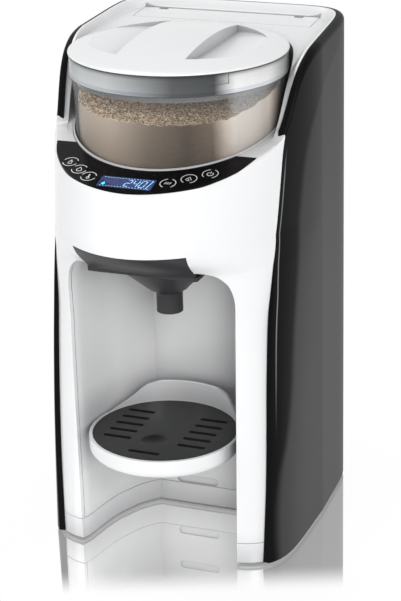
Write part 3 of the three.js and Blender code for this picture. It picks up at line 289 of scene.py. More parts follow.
class Wire:
    """A socket that can be added, scaled and compared as a number."""

    def __init__(self, tree, socket):
        self.tree, self.socket = tree, socket

    def join(self, kind, *values):
        return self.tree.node("ShaderNodeMath", dict(enumerate(values)), operation=kind)

    __add__ = __radd__ = operation("ADD")
    __mul__ = __rmul__ = operation("MULTIPLY")
    __sub__ = operation("SUBTRACT")
    __truediv__ = operation("DIVIDE")
    __pow__ = operation("POWER")
    larger = operation("MAXIMUM")

    def __rsub__(self, other):
        return self.join("SUBTRACT", other, self)

    def between(self, low, high):
        """0 below low, 1 above high, with a soft passage."""
        return self.tree.node("ShaderNodeMapRange", {"Value": self, "From Min": low, "From Max": high},
                              interpolation_type="SMOOTHSTEP")


class Tree:
    """A node tree that is written as sums of wires."""

    def __init__(self, tree):
        self.tree = tree

    def node(self, kind, values=None, out=0, stops=None, points=None, **settings):
        """A node from its type, its settings, such as a ramp's stops, and what goes into its sockets."""
        made = self.tree.nodes.new(kind)
        for key, value in settings.items():
            setattr(made, key, value)
        if stops:
            ramp = made.color_ramp
            while len(ramp.elements) < len(stops):
                ramp.elements.new(0.5)
            for element, (place, tone) in zip(ramp.elements, stops):
                element.position = place
                element.color = (*tone, 1)
        if points:
            curve = made.mapping.curves[0]
            while len(curve.points) < len(points):
                curve.points.new(0.5, 0.5)
            for point, place in zip(curve.points, points):
                point.location = place
            made.mapping.update()
        for key, value in (values or {}).items():
            self.put(made.inputs[key], value)
        return Wire(self, made.outputs[out])

    def put(self, socket, value):
        if isinstance(value, Wire):
            self.tree.links.new(value.socket, socket)
        elif isinstance(value, tuple) and len(value) == 3 and socket.type == "RGBA":
            socket.default_value = (*value, 1)
        else:
            socket.default_value = value

    def ramp(self, value, *stops):
        """A tone for each place along a value, from (place, tone) pairs."""
        return self.node("ShaderNodeValToRGB", {0: value}, stops=stops)

    def curve(self, value, points):
        """A number for each place along a value, both from 0 to 1."""
        return self.node("ShaderNodeFloatCurve", {"Factor": 1, "Value": value}, points=points)

    def place(self):
        return self.node("ShaderNodeTexCoord", out="Object")

    def axes(self):
        split = self.node("ShaderNodeSeparateXYZ", {"Vector": self.place()})
        return [Wire(self, split.socket.node.outputs[k]) for k in range(3)]

    def noise(self, scale, detail=2.0, stretch=None):
        place = self.place()
        if stretch:
            place = self.node("ShaderNodeMapping", {"Vector": place, "Scale": stretch})
        return self.node("ShaderNodeTexNoise", {"Vector": place, "Scale": scale, "Detail": detail})

    def blend(self, part, first, second, kind="MIX"):
        """Between two tones by a mask."""
        return self.node("ShaderNodeMix", {0: part, 6: first, 7: second}, out=2, data_type="RGBA",
                         blend_type=kind)

    def tinted(self, first, second):
        return self.blend(1.0, first, second, "MULTIPLY")

    def bump(self, height, strength, distance=0.0002):
        return self.node("ShaderNodeBump", {"Height": height, "Strength": strength, "Distance": distance})

    def openness(self, distance):
        """1 in the open, less in corners and hollows; used to paint shade into colours."""
        return self.node("ShaderNodeAmbientOcclusion", {"Distance": distance}, out="AO", samples=8)

    def bricks(self, scale, mortar_size, first, second, mortar, out=0):
        values = {"Vector": self.place(), "Scale": scale, "Mortar Size": mortar_size,
                  "Color1": first, "Color2": second, "Mortar": mortar}
        return self.node("ShaderNodeTexBrick", values, out)

    def facing(self, blend):
        """0 face on, 1 edge on."""
        return self.node("ShaderNodeLayerWeight", {"Blend": blend}, out="Facing")

    def mixed(self, part, first, second):
        """Between two shaders by a factor."""
        return self.node("ShaderNodeMixShader", {0: part, 1: first, 2: second})

    def seen(self):
        """1 for what the camera, a mirror or clear plastic sees, 0 for the rays that light the part."""
        path = self.node("ShaderNodeLightPath").socket.node.outputs
        camera, glossy, clear = [Wire(self, path[f"Is {kind} Ray"])
                                 for kind in ("Camera", "Glossy", "Transmission")]
        return camera.larger(glossy).larger(clear)


class Finish(Tree):
    """One node material."""

    def __init__(self, name):
        self.material = bpy.data.materials.new(name)
        self.material.use_nodes = True
        super().__init__(self.material.node_tree)
        self.shader = self.tree.nodes["Principled BSDF"]
        self.base = Wire(self, self.shader.outputs[0])

    def set(self, **values):
        for key, value in values.items():
            self.put(self.shader.inputs[key.replace("_", " ")], value)
        return self

    def show(self, shader):
        self.put(self.tree.nodes["Material Output"].inputs["Surface"], shader)
        return self


def grey(value):
    return (value, value, value)


def toned(tone, factor):
    return tuple(min(1.0, c * factor) for c in tone)


def plastic(name, tone, roughness, grain, swing, coat=0.0, shine=0.5):
    """Moulded plastic: a faint cloudiness in tone and gloss, and a fine moulded grain."""
    made = Finish(name)
    cloud = made.noise(14, 3)
    fine = made.noise(1400, 2)
    flow = made.noise(5, 2, (1, 1, 0.25))
    made.set(Base_Color=made.blend(cloud, toned(tone, 1 - swing), toned(tone, 1 + swing)),
             Roughness=roughness + 0.1 * (flow - 0.5) + 0.06 * (cloud - 0.5),
             Normal=made.bump(fine, grain), Specular_IOR_Level=shine)
    if coat:
        made.set(Coat_Weight=coat, Coat_Roughness=0.04)
    return made


def white_finish(name, shade):
    """White moulding, with painted shade deep in its corners and hollows, and painted shade towards its right
    by the shade factor.
    """
    made = plastic(name, (0.84, 0.84, 0.835), 0.24, 0.012, 0.008, coat=0.2)
    cloud = made.noise(14, 3)
    white = made.blend(cloud, grey(0.82), (0.85, 0.85, 0.845))
    # painted shade: greyer towards the right (+x), as strong as the shade factor
    white = made.blend(shade * made.axes()[0].between(0.01, 0.06), white, (0.25, 0.25, 0.255))
    # painted shade: greyer deep in corners and hollows, from ambient occlusion
    made.set(Base_Color=made.blend(made.openness(0.03) ** 1.6, (0.36, 0.36, 0.37), white))
    return made


def make_finishes():
    return {
        "white_shell": white_finish("white_shell", 0),
        # the bay's white, with painted shade towards its right
        "bay_white_painted_shade": white_finish("bay_white_painted_shade", 0.55),
        "white_inner": plastic("white_inner", (0.80, 0.80, 0.795), 0.36, 0.05, 0.015),
        "smoke": smoke_finish(),
        "graphite_shell": graphite_finish(),
        "black_gloss": plastic("black_gloss", (0.004, 0.004, 0.005), 0.16, 0.01, 0.1, shine=0.06),
        "black_matte": plastic("black_matte", (0.013, 0.013, 0.014), 0.36, 0.12, 0.1, shine=0.3),
        "grey_rubber": plastic("grey_rubber", grey(0.30), 0.7, 0.15, 0.05),
        "steel": steel_finish(),
        "circuit_board": board_finish(),
        "clear_plastic": clear_finish(),
        "frosted_plastic": frosted_finish(),
        "display": display_finish(),
        "marks": glow_finish("display_marks", (0.42, 0.80, 1.0), 0.9),
        "drop": glow_finish("display_drop", (0.05, 0.75, 0.95), 0.8),
        "print": plastic("white_print", grey(0.78), 0.5, 0.05, 0.03),
        "powder": powder_finish()}


def graphite_finish():
    """Dark grey shell, darker higher up, with painted shade to near black in a soft band along its curved
    front and top edge, and a thin painted highlight line just behind the seam.
    """
    made = Finish("graphite_shell")
    _, y, z = made.axes()
    cloud = made.noise(10, 3)
    flow = made.noise(4, 2, (1, 1, 0.2))
    fine = made.noise(1400, 2)

    height_span, back_start, back_span = 400, 100, 300

    def depth_by_height(places):
        """A y in metres for each height, from (height, y) pairs in millimetres."""
        points = [(up / height_span, (back + back_start) / back_span) for up, back in places]
        return made.curve(z / (height_span * mm), points) * (back_span * mm) - back_start * mm

    front = depth_by_height([(0, -58.3), (71, -54.5), (100, -44.5), (130, -36.5), (184, -28), (229, -18),
                             (266, -10.5), (292, -5), (309, 0), (326, 8), (339, 18), (352, 30), (364, 50),
                             (400, 200)])
    over = [(-100, 330), (41, 364), (56, 370), (71, 374), (86, 378.5), (102, 382), (132, 386)]
    top = made.curve((y + 0.1) / 0.25, [((back + 100) / 250, (up - 300) / 100) for back, up in over])
    top = top * 0.1 + 0.3
    # painted shade: the near-black soft band along the curved front and top edge
    mask = (1 - (y - front).between(-0.006, 0.005)).larger((z - top).between(-0.004, 0.004))
    seam = depth_by_height([(up * rim_height, mid_y - draw * seam_base) for up, draw in seam_shares])
    from_seam = y - seam
    # painted highlight: a thin lighter line just behind the seam, between two heights
    line = from_seam.between(0.0035, 0.0040) * (1 - from_seam.between(0.0046, 0.0051))
    glint = z.between(0.10, 0.2) * (1 - z.between(0.30, 0.33))
    side = made.blend(cloud, (0.050, 0.050, 0.051), (0.062, 0.062, 0.063))
    # darker higher up
    side = made.blend(z.between(0.16, 0.40), side, (0.034, 0.034, 0.035))
    # the band's painted shade, with the painted highlight line in it
    dark = made.blend(glint * line, grey(0.004), grey(0.22))
    return made.set(Base_Color=made.blend(mask, side, dark), Normal=made.bump(fine, 0.02),
                    Roughness=0.4 + 0.12 * (flow - 0.5) - 0.04 * mask, Specular_IOR_Level=0.05)


def smoke_finish():
    """Dark translucent plastic, darker where it is seen edge on."""
    made = Finish("smoke_plastic")
    cloud = made.noise(30, 2)
    edge = made.facing(0.35)
    tone = made.blend(cloud, (0.044, 0.044, 0.046), (0.058, 0.058, 0.060))
    return made.set(Base_Color=made.blend(edge ** 3, tone, (0.004, 0.004, 0.005)),
                    Roughness=0.28 + 0.08 * cloud, Alpha=0.94 + 0.06 * edge, Specular_IOR_Level=0.08)


def steel_finish():
    made = Finish("steel")
    streak = made.noise(600, 2, (1, 1, 0.04))
    return made.set(Base_Color=made.blend(streak, (0.50, 0.51, 0.52), (0.62, 0.62, 0.63)), Metallic=1.0,
                    Roughness=0.26 + 0.16 * streak, Normal=made.bump(streak, 0.03))


def board_finish():
    made = Finish("circuit_board")
    traces = made.bricks(90, 0.05, grey(1), grey(0.8), grey(0), out=1)
    weave = made.noise(800, 2)
    green = made.blend(weave, (0.02, 0.13, 0.06), (0.03, 0.17, 0.08))
    return made.set(Base_Color=made.blend(traces, green, (0.10, 0.30, 0.14)), Roughness=0.4 + 0.2 * weave,
                    Normal=made.bump(traces, 0.1))


def turn_about_hopper(made):
    """0 to 1 once round the hopper's axis, 0.5 at its right side, less towards the front."""
    x, y, _ = made.axes()
    turn = made.node("ShaderNodeMath", {0: y - hopper_y * mm, 1: x}, operation="ARCTAN2")
    return turn / (2 * math.pi) + 0.5


def clear_finish():
    """Thin clear plastic: see-through face on, grey and glossy where it turns away, with a painted highlight
    band at one place round the hopper's axis.
    """
    made = Finish("clear_plastic")
    cloud = made.noise(25, 2)
    edge = made.facing(0.5)
    made.set(Base_Color=made.blend(edge ** 3, grey(0.70), (0.02, 0.02, 0.022)),
             Roughness=0.06 + 0.04 * cloud, Specular_IOR_Level=0.3)
    through = made.node("ShaderNodeBsdfTransparent", {"Color": (0.985, 0.98, 0.97)})
    turn = turn_about_hopper(made)
    # painted highlight: a lighter upright band at one place round the hopper's axis
    painted_highlight_band = turn.between(0.375, 0.402) * (1 - turn.between(0.455, 0.475))
    part = 0.03 + 0.92 * edge ** 6 + 0.02 * cloud + 0.22 * painted_highlight_band * (1 - edge ** 2)
    return made.show(made.mixed(part, through, made.base))


def frosted_finish():
    """See-through grey with painted light and shade in tones that change round the hopper, a painted shadow
    of the lid along its top, and painted shade in its grooves.
    """
    made = Finish("frosted_plastic")
    cloud = made.noise(60, 3)
    _, _, z = made.axes()
    # painted light and shade: tones that change round the hopper's axis
    tone = made.ramp(turn_about_hopper(made),
                     (0.05, (0.24, 0.25, 0.25)), (0.14, (0.62, 0.64, 0.64)), (0.20, (0.58, 0.60, 0.60)),
                     (0.30, (0.105, 0.11, 0.11)), (0.36, (0.07, 0.075, 0.075)), (0.392, (0.95, 0.94, 0.93)),
                     (0.46, (0.86, 0.85, 0.84)), (0.53, grey(0.30)))
    up = (z - (hopper_top - collar_height) * mm) / (collar_height * mm)
    # painted shadow of the lid darkening the top, with a bluish line near the foot
    rows = made.ramp(up, (0.0, grey(1.0)), (0.1, (0.72, 0.78, 0.86)), (0.2, grey(1.0)), (0.5, grey(0.92)),
                     (0.78, grey(0.84)), (0.93, grey(0.50)), (1.0, grey(0.04)))
    tone = made.tinted(made.tinted(tone, rows), made.blend(cloud, grey(0.94), grey(1.0)))
    # painted shade in the grooves, from ambient occlusion
    return made.set(Base_Color=made.blend(made.openness(0.003), (0.16, 0.16, 0.165), tone),
                    Roughness=0.16 + 0.1 * cloud, Alpha=0.86 + 0.1 * cloud, Specular_IOR_Level=0.2)


def display_finish():
    """Backlit blue display with a slow fall in brightness and a fine pixel screen."""
    made = Finish("display")
    x, _, _ = made.axes()
    glow = made.noise(80, 1)
    screen = made.bricks(700, 0.08, grey(1), grey(0.9), grey(0.55))
    along = (x - (lcd_x - lcd_wide / 2) * mm) / (lcd_wide * mm)
    lit = made.tinted(made.blend(along, (0.012, 0.035, 0.16), (0.035, 0.08, 0.30)), screen)
    return made.set(Base_Color=lit, Emission_Color=lit, Emission_Strength=0.45, Roughness=0.1 + 0.06 * glow,
                    Coat_Weight=0.6, Coat_Roughness=0.03)


def glow_finish(name, tone, strength):
    made = Finish(name)
    shimmer = made.noise(500, 1)
    lit = made.blend(shimmer, toned(tone, 0.85), tone)
    return made.set(Base_Color=lit, Emission_Color=lit, Emission_Strength=strength,
                    Roughness=0.4 + 0.1 * shimmer)


def powder_finish():
    """Milk powder: smooth where it is pressed to the wall, with painted light and shade in tones that change
    round it and darker towards the bottom, grainy on top in grain tones with painted shade.
    """
    made = Finish("milk_powder")
    _, _, z = made.axes()
    normal = made.node("ShaderNodeNewGeometry", out="Normal")
    top = made.node("ShaderNodeSeparateXYZ", {"Vector": normal}, out=2).between(0.25, 0.6)
    grain = made.noise(1150, 3)
    crumbs = made.node("ShaderNodeTexVoronoi", {"Vector": made.place(), "Scale": 1000}, out="Color")
    speck = made.node("ShaderNodeSeparateXYZ", {"Vector": crumbs})
    mottle = made.noise(40, 3)
    # painted light and shade where the powder meets the wall, changing round the hopper's axis
    pressed = made.ramp(turn_about_hopper(made) + 0.012 * (mottle - 0.5),
                        (0.03, (0.30, 0.26, 0.23)), (0.10, (0.52, 0.45, 0.39)), (0.19, (0.47, 0.40, 0.34)),
                        (0.26, (0.17, 0.135, 0.10)), (0.318, (0.055, 0.034, 0.018)),
                        (0.360, (0.13, 0.095, 0.065)), (0.398, (0.90, 0.81, 0.73)),
                        (0.47, (0.78, 0.70, 0.63)), (0.53, (0.12, 0.11, 0.10)))
    # darker towards the bottom
    depth = made.ramp((z - 0.318) / 0.035, (0.0, (0.70, 0.66, 0.62)), (0.6, (0.92, 0.90, 0.88)),
                      (1.0, (1.08, 1.06, 1.04)))
    # grain tones, darkened to brown as painted shade under the lid
    loose = made.ramp(0.5 * grain + 0.3 * speck + 0.1, (0.34, (0.12, 0.075, 0.04)),
                      (0.45, (0.34, 0.26, 0.175)), (0.58, (0.78, 0.67, 0.52)))
    # painted light and shade on the grainy top, changing round the hopper's axis
    painted_light_round_top = made.ramp(turn_about_hopper(made), (0.10, (1.5, 1.42, 1.4)), (0.20, (1.25, 1.18, 1.15)),
                         (0.31, (0.82, 0.76, 0.70)), (0.45, (0.72, 0.68, 0.64)))
    tone = made.blend(top, made.tinted(pressed, depth), made.tinted(loose, painted_light_round_top))
    return made.set(Base_Color=tone, Roughness=0.9 + 0.05 * grain, Specular_IOR_Level=0.1,
                    Normal=made.bump(grain * top, 0.4, 0.0006))


finishes = make_finishes()


# Modelling
def only(piece=None):
    """Nothing selected but this piece."""
    for other in bpy.context.selected_objects:
        other.select_set(False)
    if piece:
        piece.select_set(True)
        bpy.context.view_layer.objects.active = piece


def started(name):
    piece = bpy.context.object
    piece.name = name
    piece.data.name = name
    return piece


def points_of(piece):
    flat = np.zeros(len(piece.data.vertices) * 3, np.float32)
    piece.data.vertices.foreach_get("co", flat)
    return flat.reshape(-1, 3)


def moved(piece, points):
    piece.data.vertices.foreach_set("co", np.asarray(points, np.float32).ravel() * mm)
    piece.data.update()
    return piece


def closed(piece):
    """Merges what coincides and turns every face outwards."""
    only(piece)
    bpy.ops.object.mode_set(mode="EDIT")
    bpy.ops.mesh.select_all(action="SELECT")
    bpy.ops.mesh.remove_doubles(threshold=0.000001)
    bpy.ops.mesh.normals_make_consistent(inside=False)
    bpy.ops.object.mode_set(mode="OBJECT")
    return piece


def wrapped(name, rings):
    """A sheet wrapped round through rings of points, from the first to the last."""
    rows = np.array(rings, float)
    levels, count = rows.shape[:2]
    only()
    bpy.ops.mesh.primitive_grid_add(x_subdivisions=count, y_subdivisions=levels - 1, size=2)
    piece = started(name)
    flat = points_of(piece)
    column = np.rint((flat[:, 0] + 1) / 2 * count).astype(int) % count
    row = np.rint((flat[:, 1] + 1) / 2 * (levels - 1)).astype(int)
    return closed(moved(piece, rows[row, column]))


def capped(name, rings):
    """The same, closed with a fan at both ends."""
    ends = [np.repeat(np.mean(ring, axis=0)[None], len(ring), axis=0) for ring in (rings[0], rings[-1])]
    return wrapped(name, [ends[0], *rings, ends[1]])


def circle(radius, count=lathe_count, middle=(0, 0), ratio=1.0):
    angle = 2 * np.pi * np.arange(count) / count
    return np.stack([middle[0] + radius * np.cos(angle), middle[1] + ratio * radius * np.sin(angle)], -1)


def at_level(outline, height):
    outline = np.asarray(outline, float)
    return np.column_stack([outline, np.full(len(outline), height)])


def turned(name, profile, middle_y, count=lathe_count):
    """A profile of (radius, height) turned about an upright axis."""
    return wrapped(name, [at_level(circle(radius, count, (0, middle_y)), height)
                          for radius, height in profile])


def prism(name, outline, low, high, along="z"):
    """An outline drawn straight along one axis: (x, y) along z, (x, z) along y, (y, z) along x."""
    outline = np.asarray(outline, float)
    only()
    bpy.ops.mesh.primitive_circle_add(vertices=len(outline), radius=1, fill_type="NGON")
    piece = started(name)
    moved(piece, at_level(outline, low))
    bpy.ops.object.mode_set(mode="EDIT")
    bpy.ops.mesh.select_all(action="SELECT")
    bpy.ops.mesh.extrude_region_move(TRANSFORM_OT_translate={"value": (0, 0, (high - low) * mm)})
    bpy.ops.object.mode_set(mode="OBJECT")
    if along != "z":
        order = [0, 2, 1] if along == "y" else [2, 0, 1]
        moved(piece, (points_of(piece) / mm)[:, order])
    return closed(piece)


def block(name, low, high):
    only()
    bpy.ops.mesh.primitive_cube_add(size=2)
    piece = started(name)
    part = (points_of(piece) + 1) / 2
    return moved(piece, np.array(low) + part * (np.array(high) - np.array(low)))


def rod(name, radius, low, high, x=0.0, y=0.0, count=48):
    return prism(name, circle(radius, count, (x, y)), low, high)


def post(name, radius, low, high):
    """A finely divided cylinder on the hopper's axis."""
    return rod(name, radius, low, high, 0, hopper_y, lathe_count)


def with_modifier(piece, kind, **settings):
    only(piece)
    bpy.ops.object.modifier_add(type=kind)
    modifier = piece.modifiers[-1]
    for key, value in settings.items():
        setattr(modifier, key, value)
    bpy.ops.object.modifier_apply(modifier=modifier.name)
    return piece


def combined(piece, kind, *others):
    for other in others:
        with_modifier(piece, "BOOLEAN", operation=kind, object=other, solver="MANIFOLD")
        bpy.data.objects.remove(other)
    return piece


def joined(piece, *others):
    return combined(piece, "UNION", *others)


def cut(piece, *cutters):
    return combined(piece, "DIFFERENCE", *cutters)


def common(piece, *others):
    return combined(piece, "INTERSECT", *others)


def copied(piece, name):
    only(piece)
    bpy.ops.object.duplicate()
    return started(name)


def merged(name, pieces):
    """Several loose pieces as one object."""
    only()
    for piece in pieces:
        piece.select_set(True)
    bpy.context.view_layer.objects.active = pieces[0]
    bpy.ops.object.join()
    return started(name)


def dressed(piece, finish, body, nodes=(), angle=32):
    """Shades, finishes and places a piece on its body."""
    only(piece)
    bpy.ops.object.shade_smooth_by_angle(angle=math.radians(angle))
    with_modifier(piece, "WEIGHTED_NORMAL", keep_sharp=True)
    piece.data.materials.clear()
    piece.data.materials.append(finishes[finish].material)
    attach(piece, body)
    if nodes:
        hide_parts(*nodes)


# Body outline
def flowing(places, values):
    """A smooth curve through points that never overshoots them."""
    places, values = np.array(places, float), np.array(values, float)
    step = np.diff(places)
    slope = np.diff(values) / step
    inner = [0.0 if a * b <= 0 else 2 * a * b / (a + b) for a, b in zip(slope[:-1], slope[1:])]
    tilt = np.array([slope[0], *inner, slope[-1]])

    def value(place):
        place = np.clip(place, places[0], places[-1])
        k = np.clip(np.searchsorted(places, place) - 1, 0, len(step) - 1)
        t = (place - places[k]) / step[k]
        return (values[k] * (1 + 2 * t) * (1 - t) ** 2 + values[k + 1] * t * t * (3 - 2 * t)
                + step[k] * (tilt[k] * t * (1 - t) ** 2 - tilt[k + 1] * t * t * (1 - t)))
    return value


def smooth(value, low, high):
    part = np.clip((value - low) / (high - low), 0, 1)
    return part * part * (3 - 2 * part)


# Rows of height, reach to the front and squareness of the outline
nose_low = chin_height + 12
section_parts = [(leg_shares, 0, bay_height), (chin_shares, bay_height, chin_height - bay_height)]
section_rows = [(low + up * rise, leg_reach + share * (nose_reach - leg_reach), power)
                for shares, low, rise in section_parts for up, share, power in shares]
section_rows += [(z, nose_reach - nose_lean * (z - chin_height), 2) for z in (nose_low, rim_height)]
row_heights, row_reaches, row_powers = zip(*section_rows)
reach_at = flowing(row_heights, row_reaches)
power_at = flowing(row_heights, row_powers)


def ring(level, inset):
    """The body's outline at a height, or along a height that follows y, drawn in by an inset."""
    angle = 2 * np.pi * np.arange(round_count) / round_count
    c, s = np.cos(angle), np.sin(angle)
    front = s < 0
    y = np.full(round_count, mid_y)
    for _ in range(ring_passes):
        height = level(y) if callable(level) else np.full(round_count, float(level))
        draw = inset(y, height) if callable(inset) else inset
        power = np.where(front, power_at(height), back_power)
        size = (np.abs(c) ** power + np.abs(s) ** power) ** (-1 / power)
        out = s * size * (np.where(front, reach_at(height), back_reach) - draw)
        taper = np.where(front, 1, 1 - back_taper * out / back_reach)
        x = c * size * (half_width - draw) * taper
        y = mid_y + out
    return np.stack([x, y, height], -1)


def panel_z(y):
    return panel_height + panel_slope * (y - crescent_y)


wing_rise = flowing([-42, -37, -32, -27.5, -22, -15, -8, 4.7, 20, mid_y],
                    [0, 0.006, 0.035, 0.09, 0.20, 0.40, 0.59, 0.81, 0.95, 1])


def edge_height(y):
    """Height of the body's upper edge: the sloping panel, then the wing's rise, then the rim."""
    panel = panel_z(np.minimum(y, mid_y))
    wing = panel + (shoulder_height - panel) * wing_rise(y)
    behind = shoulder_height + (rim_height - shoulder_height) * ((y - mid_y) / back_reach)
    return np.where(y >= mid_y, behind, wing)


def edge_round(y):
    return front_edge + smooth(y, mid_y - wing_start, mid_y) * (rear_edge - front_edge)


body_levels = [0, 10, base_height, *range(35, 236, 10), *range(240, 266, 2), 269, 274]


def envelope(name, bottom, inset, rim, sharp=False):
    """The whole body drawn in by an inset, up to the height that rim gives."""
    draw = inset if callable(inset) else (lambda y, z: inset + 0 * y)
    top = float(draw(np.array([0.0]), np.array([rim_height]))[0])

    def radius(y):
        return np.maximum(edge_round(y) - top, gap / 2)

    start = max(bottom, body_levels[-1]) if bottom < chin_height else bottom
    rings = [ring(bottom, draw)] + [ring(z, draw) for z in body_levels if z > bottom]
    low_drop = 0 if sharp else 1
    for share in np.linspace(0.12, 0.88, 7):
        rings.append(ring(lambda y: start + share * (rim(y) - low_drop * radius(y) - start), draw))
    if sharp:
        rings.append(ring(rim, draw))
    else:
        for turn in np.linspace(0, np.pi / 2, 9):
            rings.append(ring(lambda y: rim(y) - radius(y) * (1 - np.sin(turn)),
                              lambda y, z: draw(y, z) * 0 + top + radius(y) * (1 - np.cos(turn))))
    for share in np.linspace(0.04, 0.8, 14):
        rings.append(ring(rim, top + rear_edge + share * half_width))
    return capped(name, rings)


def seam_points(shift):
    """The seam's curve as a smooth run of points in (y, z)."""
    out_at = flowing([up for up, _ in seam_shares], [out for _, out in seam_shares])
    ups = np.linspace(0, seam_shares[-1][0], 60)
    return [(mid_y - float(out_at(up)) * seam_base - shift, up * rim_height) for up in ups]


def in_front_of_seam(name, shift):
    seam = seam_points(shift)
    outline = [(front_end, -overrun), (seam[0][0], -overrun), *seam, (seam[-1][0], 2 * rim_height),
               (front_end, 2 * rim_height)]
    return prism(name, outline, *across, "x")


def step_in(y, z):
    return inner_inset * (1 - smooth(z, step_fade, chin_height))


rim_inset = rear_edge + gap
bank_inset = rim_inset + deck_bank


def deck_level(y):
    return np.maximum(edge_height(y) - deck_drop, panel_z(y) + gap / 2)


def height_at(level, y):
    return float(level(np.array([y]))[0])


def dish(name):
    """The hollow over the deck, from its floor up the sloping bank to the rim."""
    def side(y, z):
        part = smooth(y, mid_y - wing_start, mid_y - wing_start / 2)
        return -overrun + part * (rim_inset + lip_width + overrun)

    rings = [ring(deck_level, bank_inset + share * (back_reach - bank_inset))
             for share in np.linspace(0.94, 0, 12)]
    low = rings[-1]
    high = ring(lambda y: edge_height(y) + gap, side)
    for share in (0.04, 0.12, 0.3, 0.55, 0.8, 0.93):
        rise = share * share * (3 - 2 * share) if share < 0.5 else share
        step = low + share * (high - low)
        step[:, 2] = low[:, 2] + rise * (high[:, 2] - low[:, 2])
        rings.append(step)
    rings += [high, ring(lambda y: edge_height(y) + rim_height / 4, side)]
    return capped(name, rings)


def bay_outline(factor, grow):
    ups = np.array(bay_shares)
    along = np.concatenate([np.linspace(0, 0.9, 22), np.linspace(0.92, 1.04, 6)])
    out = flowing(ups[:, 1], ups[:, 0])(along)
    right = [(o * bay_half * factor + grow, bay_back_y - a * bay_depth_front + grow)
             for o, a in zip(out, along)]
    right.append((right[-1][0], front_end))
    left = [(-x, y) for x, y in right]
    return left[::-1] + right


def bay_void(name, grow, bottom):
    corner_wide = bay_half + bay_flare - bowl_half
    rings = [at_level(bay_outline(1, grow), bottom)]
    for turn in np.linspace(0, np.pi / 2, 16):
        half = bowl_half + corner_wide * math.cos(turn)
        height = bay_ceiling - bay_corner + (bay_corner + grow) * math.sin(turn)
        rings.append(at_level(bay_outline(half / bay_half, grow), height))
    return capped(name, rings)


def rounded_box(half_x, half_y, radius, steps=10, middle=(0, 0)):
    points = []
    for side_x, side_y, start in ((1, -1, -90), (1, 1, 0), (-1, 1, 90), (-1, -1, 180)):
        for angle in np.radians(start + np.linspace(0, 90, steps)):
            points.append((middle[0] + side_x * (half_x - radius) + radius * math.cos(angle),
                           middle[1] + side_y * (half_y - radius) + radius * math.sin(angle)))
    return points


def tray_slot(name, middle):
    outline = rounded_box(slot_half, slot_height / 2, slot_height / 2 - gap, 8, (0, middle))
    return prism(name, outline, bay_back_y - overrun, bay_back_y + wall + overrun, "y")


def tunnel(name, grow):
    room = gap + grow
    low, high = bay_ceiling - overrun, cover_top + room
    outline = [(-cover_foot - room, low), (cover_foot + room, low), (flange_half + room, high),
               (-flange_half - room, high)]
    return prism(name, outline, front_end, tunnel_back + grow, "y")


def plane_band(name, low, high):
    """What lies between two heights over the panel's plane."""
    corners = [(front_end, low), (mid_y, low), (mid_y, high), (front_end, high)]
    outline = [(y, panel_z(y) + rise) for y, rise in corners]
    return prism(name, outline, *across, "x")


def crescent_arc(half_x, half_y, middle_y, end_y, steps=90):
    start = math.asin((middle_y - end_y) / half_y)
    angle = np.pi + start + (np.pi - 2 * start) * np.linspace(0, 1, steps + 1)
    return [(half_x * math.cos(a), middle_y + half_y * math.sin(a)) for a in angle]


def crescent(name, inset, end_y, low, high):
    outer = crescent_arc(crescent_half - inset, crescent_reach - inset, crescent_y, end_y)
    hole = well_radius + lip_width + gap + inset
    inner = crescent_arc(hole, hole, hopper_y, end_y)
    piece = prism(name, outer + inner[::-1], chin_height, rim_height)
    return common(piece, plane_band("band", low, high))


# The panel's own frame: u to the right, v up the slope, w out of it
tilt = math.atan(panel_slope)


def on_panel(points):
    u, v, w = np.asarray(points, float).T
    y = crescent_y + v * math.cos(tilt) - w * math.sin(tilt)
    z = panel_height + v * math.sin(tilt) + w * math.cos(tilt)
    return np.stack([u, y, z], -1)


def along_panel(y):
    return (y - crescent_y) / math.cos(tilt)


def tilted(piece):
    """Lays a piece that was made flat at the origin on the sloping panel."""
    return moved(piece, on_panel(points_of(piece) / mm))


left_x, left_pitch, right_x, right_pitch = -56, 10.8, 27.3, 13
button_y, button_dip = mid_y - 115.4, 8.4
dip_shares = [0, 1.04, 2, 1.93, 0.95, -0.1]
button_rows = [(left_x, left_pitch), (right_x, right_pitch)]
button_xs = [start + i * pitch for start, pitch in button_rows for i in range(3)]
button_places = [(x, button_y - dip * button_dip) for x, dip in zip(button_xs, dip_shares)]


def tank_plan(name, grow, low, high, radius=None):
    radius = tank_round + grow if radius is None else radius
    outline = rounded_box(tank_half + grow, tank_deep_half + grow, radius, 10, (0, tank_y))
    return prism(name, outline, low, high)


def display_plate(name, grow, low, high):
    middle = (lcd_x, along_panel(lcd_y))
    outline = rounded_box(lcd_wide / 2 + grow, lcd_deep / 2 + grow, lcd_corner, 6, middle)
    return tilted(prism(name, outline, low, high))


def button_discs(radius, low, high):
    return [tilted(prism("button", circle(radius, 64, (x, along_panel(y))), low, high))
            for x, y in button_places]


# Base
base_top = base_height + gap / 2
plate_low = floor_gap - base_plate - gap / 2
foot_x, foot_y = 76, (mid_y - 78, mid_y + 66)
screw_x, screw_y = 74.5, (mid_y - 46, mid_y + 34)


def base_plan(name, low, high, inset, spread, lead=0.0):
    """The body's outline less the bay, with its edges broken by a lead."""
    levels = [(low, 0), (high, 0)]
    if lead:
        levels = [(low, lead), (low + lead, 0), (high - lead, 0), (high, lead)]
    piece = capped(name, [ring(level, inset + draw) for level, draw in levels])
    return cut(piece, bay_void("bay", spread, -overrun))


